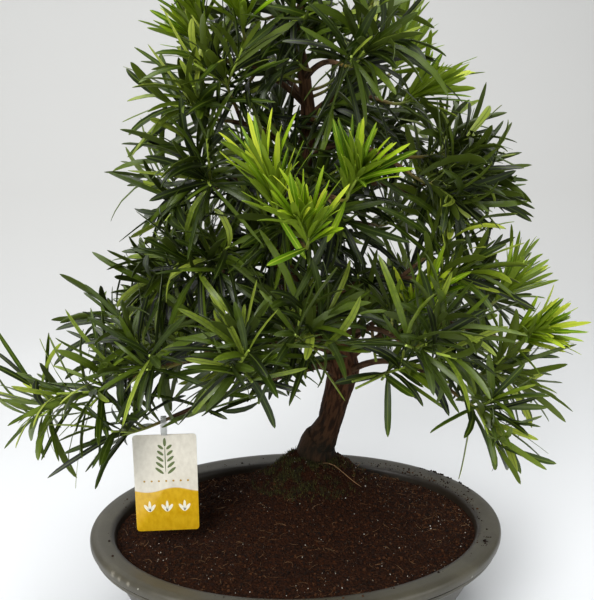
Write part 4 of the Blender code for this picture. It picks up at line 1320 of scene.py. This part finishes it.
# The stems of one twig or shoot, and its leaves laid along their arcs.
def growLeafy(bm, shoot, draw, blade, leafIndex):
    shape = twigShape
    tint = bm.verts.layers.float["tint"]
    stemTint, sideTint, gain = shape["tint"]
    for part, stem in enumerate(shoot["stems"]):
        foot = shape["radius"] * (1 if part == 0 else shape["sideRadius"])
        radii = [foot * (1 - shape["taper"] * k / (len(stem) - 1)) for k in range(len(stem))]
        points, radii = smoothPath(stem, radii, shape["spacing"])
        rings = growTube(bm, tubePlaces(points, radii), shape["sides"])
        for k, ring in enumerate(rings):
            for vert in ring:
                vert[tint] = (stemTint if part == 0 else sideTint) + gain * k / len(rings)
    stemFaces = len(bm.faces)
    # painted shade darkens the leaves of the inner shoots; a named twig's leaves may instead be darker by
    # ripeness
    ripenessAndShade = innerShape["ripenessAndShade"]
    if "name" in shoot:
        ripenessAndShade = shape["ripenessAndShade"].get(shoot["name"], 0)
    for leaves in shoot["leaves"]:
        for leaf in leaves:
            first = len(bm.verts)
            bm.from_mesh(blade)
            bm.verts.ensure_lookup_table()
            shade = draw.gauss(*bladeShape["shade"]) + bladeShape["youngShade"] * leaf["place"] + ripenessAndShade
            bendBlade(bm.verts[first:], leaf, draw, tint, shade)
    bm.faces.ensure_lookup_table()
    for face in bm.faces[stemFaces:]:
        face.material_index = leafIndex


# One piece of twigs or shoots, whose leaves have one of the given tones.
def makeLeafy(name, shoots, tones, replaced, draw, blade):
    bm = bmesh.new()
    for layer in ("tint", "below"):
        bm.verts.layers.float.new(layer)
    bm.loops.layers.uv.new("blade")
    for shoot in shoots:
        growLeafy(bm, shoot, draw, blade, 1 + tones.index(shoot["tone"]))
    finishPiece(bm, name, ["shoot", *tones], replaced, sharpAngle=70)


# Lays the flat blade along the leaf's arc, folded along its midrib and turned about it towards the tip.
def bendBlade(verts, leaf, draw, tint, shade):
    across = leaf["bend"].cross(leaf["direction"]).normalized()
    half = leaf["width"] / 2 * bladeShape["narrowing"]
    fold = draw.uniform(*bladeShape["fold"])
    twist = draw.uniform(-bladeShape["twist"], bladeShape["twist"])
    times, shorter = bladeShape["shortened"]
    for _ in range(times):
        if insideBox([leafLine(leaf, share / 8) for share in range(3, 9)]):
            break
        leaf["length"] *= shorter
    for vert in verts:
        x, share, height = vert.co
        angle = leaf["droop"] * share
        along = leaf["direction"] * math.cos(angle) + leaf["bend"] * math.sin(angle)
        side = Matrix.Rotation(leaf["roll"] + twist * share, 3, along) @ across
        upward = side.cross(along)
        vert.co = leafLine(leaf, share) + (side * x + upward * (height + fold * abs(x))) * half
        vert[tint] = shade


blade = bladeTemplate()
twigDraw = random.Random(83)
for twig in twigs:
    name, tone = twig["name"], twig["tone"]
    makeLeafy("leafyTwig_" + name, [twig], [tone], ["twig_" + name], twigDraw, blade)
for name, group in innerShoots.items():
    makeLeafy("innerShoots_" + name, group, ["old", "mid"], (), twigDraw, blade)
print("leafy twigs made:", len(twigs))


def makeLabel():
    shape = labelShape
    size = shape["size"]
    hang = labelHang(twigPlaces)
    middle = labelTop(hang) - up * size.z / 2
    bm = bmesh.new()
    uv = bm.loops.layers.uv.new("print")
    bmesh.ops.create_cube(bm, size=1.0, matrix=Matrix.Translation(middle) @ Matrix.Diagonal((*size, 1)))
    # first the edges through the card at its corners, then those round its two faces
    for through, offset, segments in ((True, shape["corner"], 6), (False, shape["rim"], 2)):
        edges = [edge for edge in bm.edges
                 if (abs((edge.verts[0].co - edge.verts[1].co).y) > size.y / 2) == through]
        bmesh.ops.bevel(bm, geom=edges, offset=offset, affect="EDGES", segments=segments, profile=0.5,
                        material=-1)
    for face in bm.faces:
        for loop in face.loops:
            place = loop.vert.co - middle
            loop[uv].uv = (place.x / size.x + 0.5, place.z / size.z + 0.5)
    addPrint(bm, middle - Vector((0, size.y / 2, 0)))
    addStrap(bm, hang, 4)
    finishPiece(bm, "careLabel", ["card", "goldInk", "greenInk", "creamInk", "strap"],
                ["label"], sharpAngle=40)


# A flat printed oval on the card's front, turned, that stands 0.1 mm proud.
def addInk(bm, front, x, z, halfLength, halfWidth, turn, index):
    place = Matrix.Translation(front + Vector((x, 0, z))) @ Matrix.Rotation(turn, 4, "Y")
    place = place @ Matrix.Rotation(math.pi / 2, 4, "X") @ Matrix.Diagonal((halfWidth, halfLength, 1, 1))
    made = bmesh.ops.create_circle(bm, cap_ends=True, segments=14, radius=1.0, matrix=place)["verts"]
    grown = bmesh.ops.extrude_face_region(bm, geom=[made[0].link_faces[0]])["geom"]
    verts = [item for item in grown if isinstance(item, bmesh.types.BMVert)]
    bmesh.ops.translate(bm, vec=(0, -0.0001, 0), verts=verts)
    for vert in made + verts:
        for near in vert.link_faces:
            near.material_index = index


# A sprig of paired leaves on the cream field, a row of dots, and three small sprigs on the gold one.
def addPrint(bm, front):
    for k in range(5):
        z = 0.012 + 0.0055 * k
        for side in (-1, 1):
            x = side * (0.0052 - 0.0004 * k)
            addInk(bm, front, x, z, 0.0046 - 0.0004 * k, 0.0013, side * 0.85, 2)
    addInk(bm, front, 0, 0.0225, 0.0125, 0.0004, 0, 2)
    addInk(bm, front, 0, 0.0385, 0.0040, 0.0013, 0, 2)
    for k in range(-3, 4):
        addInk(bm, front, k * 0.0062, 0.0022, 0.0009, 0.0009, 0, 1)
    for k in (-1, 0, 1):
        for side in (-1, 1):
            addInk(bm, front, k * 0.0150 + side * 0.0024, -0.0235, 0.0042, 0.0014, side * 0.6, 3)
        addInk(bm, front, k * 0.0150, -0.0215, 0.0050, 0.0012, 0, 3)


# The strap: a flat band that goes over the twig and closes under it, one piece with the card.
def addStrap(bm, hang, index):
    shape = labelShape
    middle = hang + up * (shape["loopAbove"] - shape["loopHalfHeight"])
    size = Matrix.Diagonal((shape["loopHalfHeight"], shape["loopHalfDepth"], 1, 1))
    turned = Matrix.Rotation(math.pi / 2, 4, "Y") @ size
    places = [Matrix.Translation(middle + Vector((side * shape["strapWidth"] / 2, 0, 0))) @ turned
              for side in (-1, 1)]
    before = set(bm.faces)
    growTube(bm, places, 40, capped=False)
    band = [face for face in bm.faces if face not in before]
    bmesh.ops.recalc_face_normals(bm, faces=band)
    bmesh.ops.solidify(bm, geom=band, thickness=-shape["strapThickness"])
    for face in bm.faces:
        if face not in before:
            face.material_index = index


makeLabel()
for name in ("drain_mesh_left", "drain_mesh_right"):
    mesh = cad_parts[name].data
    mesh.materials.clear()
    mesh.materials.append(finishes["netting"])
print("label and drain meshes made")


cameraView = {
    "lens": 54,
    "sensor": 36,
    "place": Vector((-0.058, -0.736, 0.514)),  # from the middle of the pot's foot
    "heading": -4.5,  # degrees from straight along the depth, to the right
    "pitch": 16.2,  # degrees down
}
stageShape = {"near": -7.0, "far": 1.6, "half": 7.0, "height": 3.5, "bend": 0.8}
lights = {
    # place, size in metres, power in watts
    "windowLeft": (Vector((-1.1, -1.8, 1.7)), 1.5, 71),
    "windowRight": (Vector((1.7, -1.2, 1.5)), 1.6, 18),
    "ceiling": (Vector((0.0, 0.1, 2.4)), 2.0, 46),
    "backFill": (Vector((-0.5, 1.3, 1.7)), 0.9, 4),
}
lightsAim = Vector((0, 0, 0.28))
airLight = ("#f1f4f8", 0.25)  # colour and strength of the light from all round


def makeCamera():
    data = bpy.data.cameras.new("camera")
    data.lens = cameraView["lens"]
    data.sensor_width = cameraView["sensor"]
    camera = addObject("camera", data)
    camera.location = plantPlace + cameraView["place"]
    camera.rotation_euler = (math.radians(90 - cameraView["pitch"]), 0, math.radians(cameraView["heading"]))
    bpy.context.scene.camera = camera


# Studio board in pale paint, that curves up from the floor into the background, with painted shade that
# darkens it from the front towards the back.
def makeStage():
    add, shader, place = newMaterial("board", "boardWithPaintedShade", Roughness=0.8)
    # painted shade: the board's colour darkens from the front to the back and up the background, standing
    # in for light falling off
    depth = add("SeparateXYZ", [place]).outputs["Y"]
    back = add("MapRange", [depth, -0.1, 1.3])
    dressShader(add, shader, add("ValToRGB", [back], ((0.0, "#d6d8da"), (1.0, "#b6b6b4"))))
    shape = stageShape
    spots = [(shape["near"], 0)]
    for k in range(13):
        angle = math.pi / 2 * k / 12
        y = shape["far"] - shape["bend"] * (1 - math.sin(angle))
        spots.append((y, shape["bend"] * (1 - math.cos(angle))))
    spots.append((shape["far"], shape["height"]))
    bm = bmesh.new()
    rows = len(spots) - 1
    bmesh.ops.create_grid(bm, x_segments=1, y_segments=rows, size=0.5)
    for vert in bm.verts:
        y, z = spots[round((vert.co.y + 0.5) * rows)]
        vert.co = (2 * shape["half"] * vert.co.x, y, z)
    floor = addObject("studioFloor", meshFrom(bm, "studioFloor"))
    floor.data.shade_smooth()
    floor.data.materials.append(finishes["board"])


def makeLights():
    for name, (place, size, power) in lights.items():
        data = bpy.data.lights.new(name, "AREA")
        data.shape = "DISK"
        data.size = size
        data.energy = power
        light = addObject(name, data)
        light.location = plantPlace + place
        light.rotation_euler = (lightsAim - place).to_track_quat("-Z", "Y").to_euler()
    world = bpy.data.worlds.new("studioAir")
    world.use_nodes = True
    background = world.node_tree.nodes["Background"]
    background.inputs["Color"].default_value = linear(airLight[0])
    background.inputs["Strength"].default_value = airLight[1]
    bpy.context.scene.world = world
    bpy.context.scene.view_settings.view_transform = "Standard"


makeCamera()
makeStage()
makeLights()
print("camera, floor and lights made")
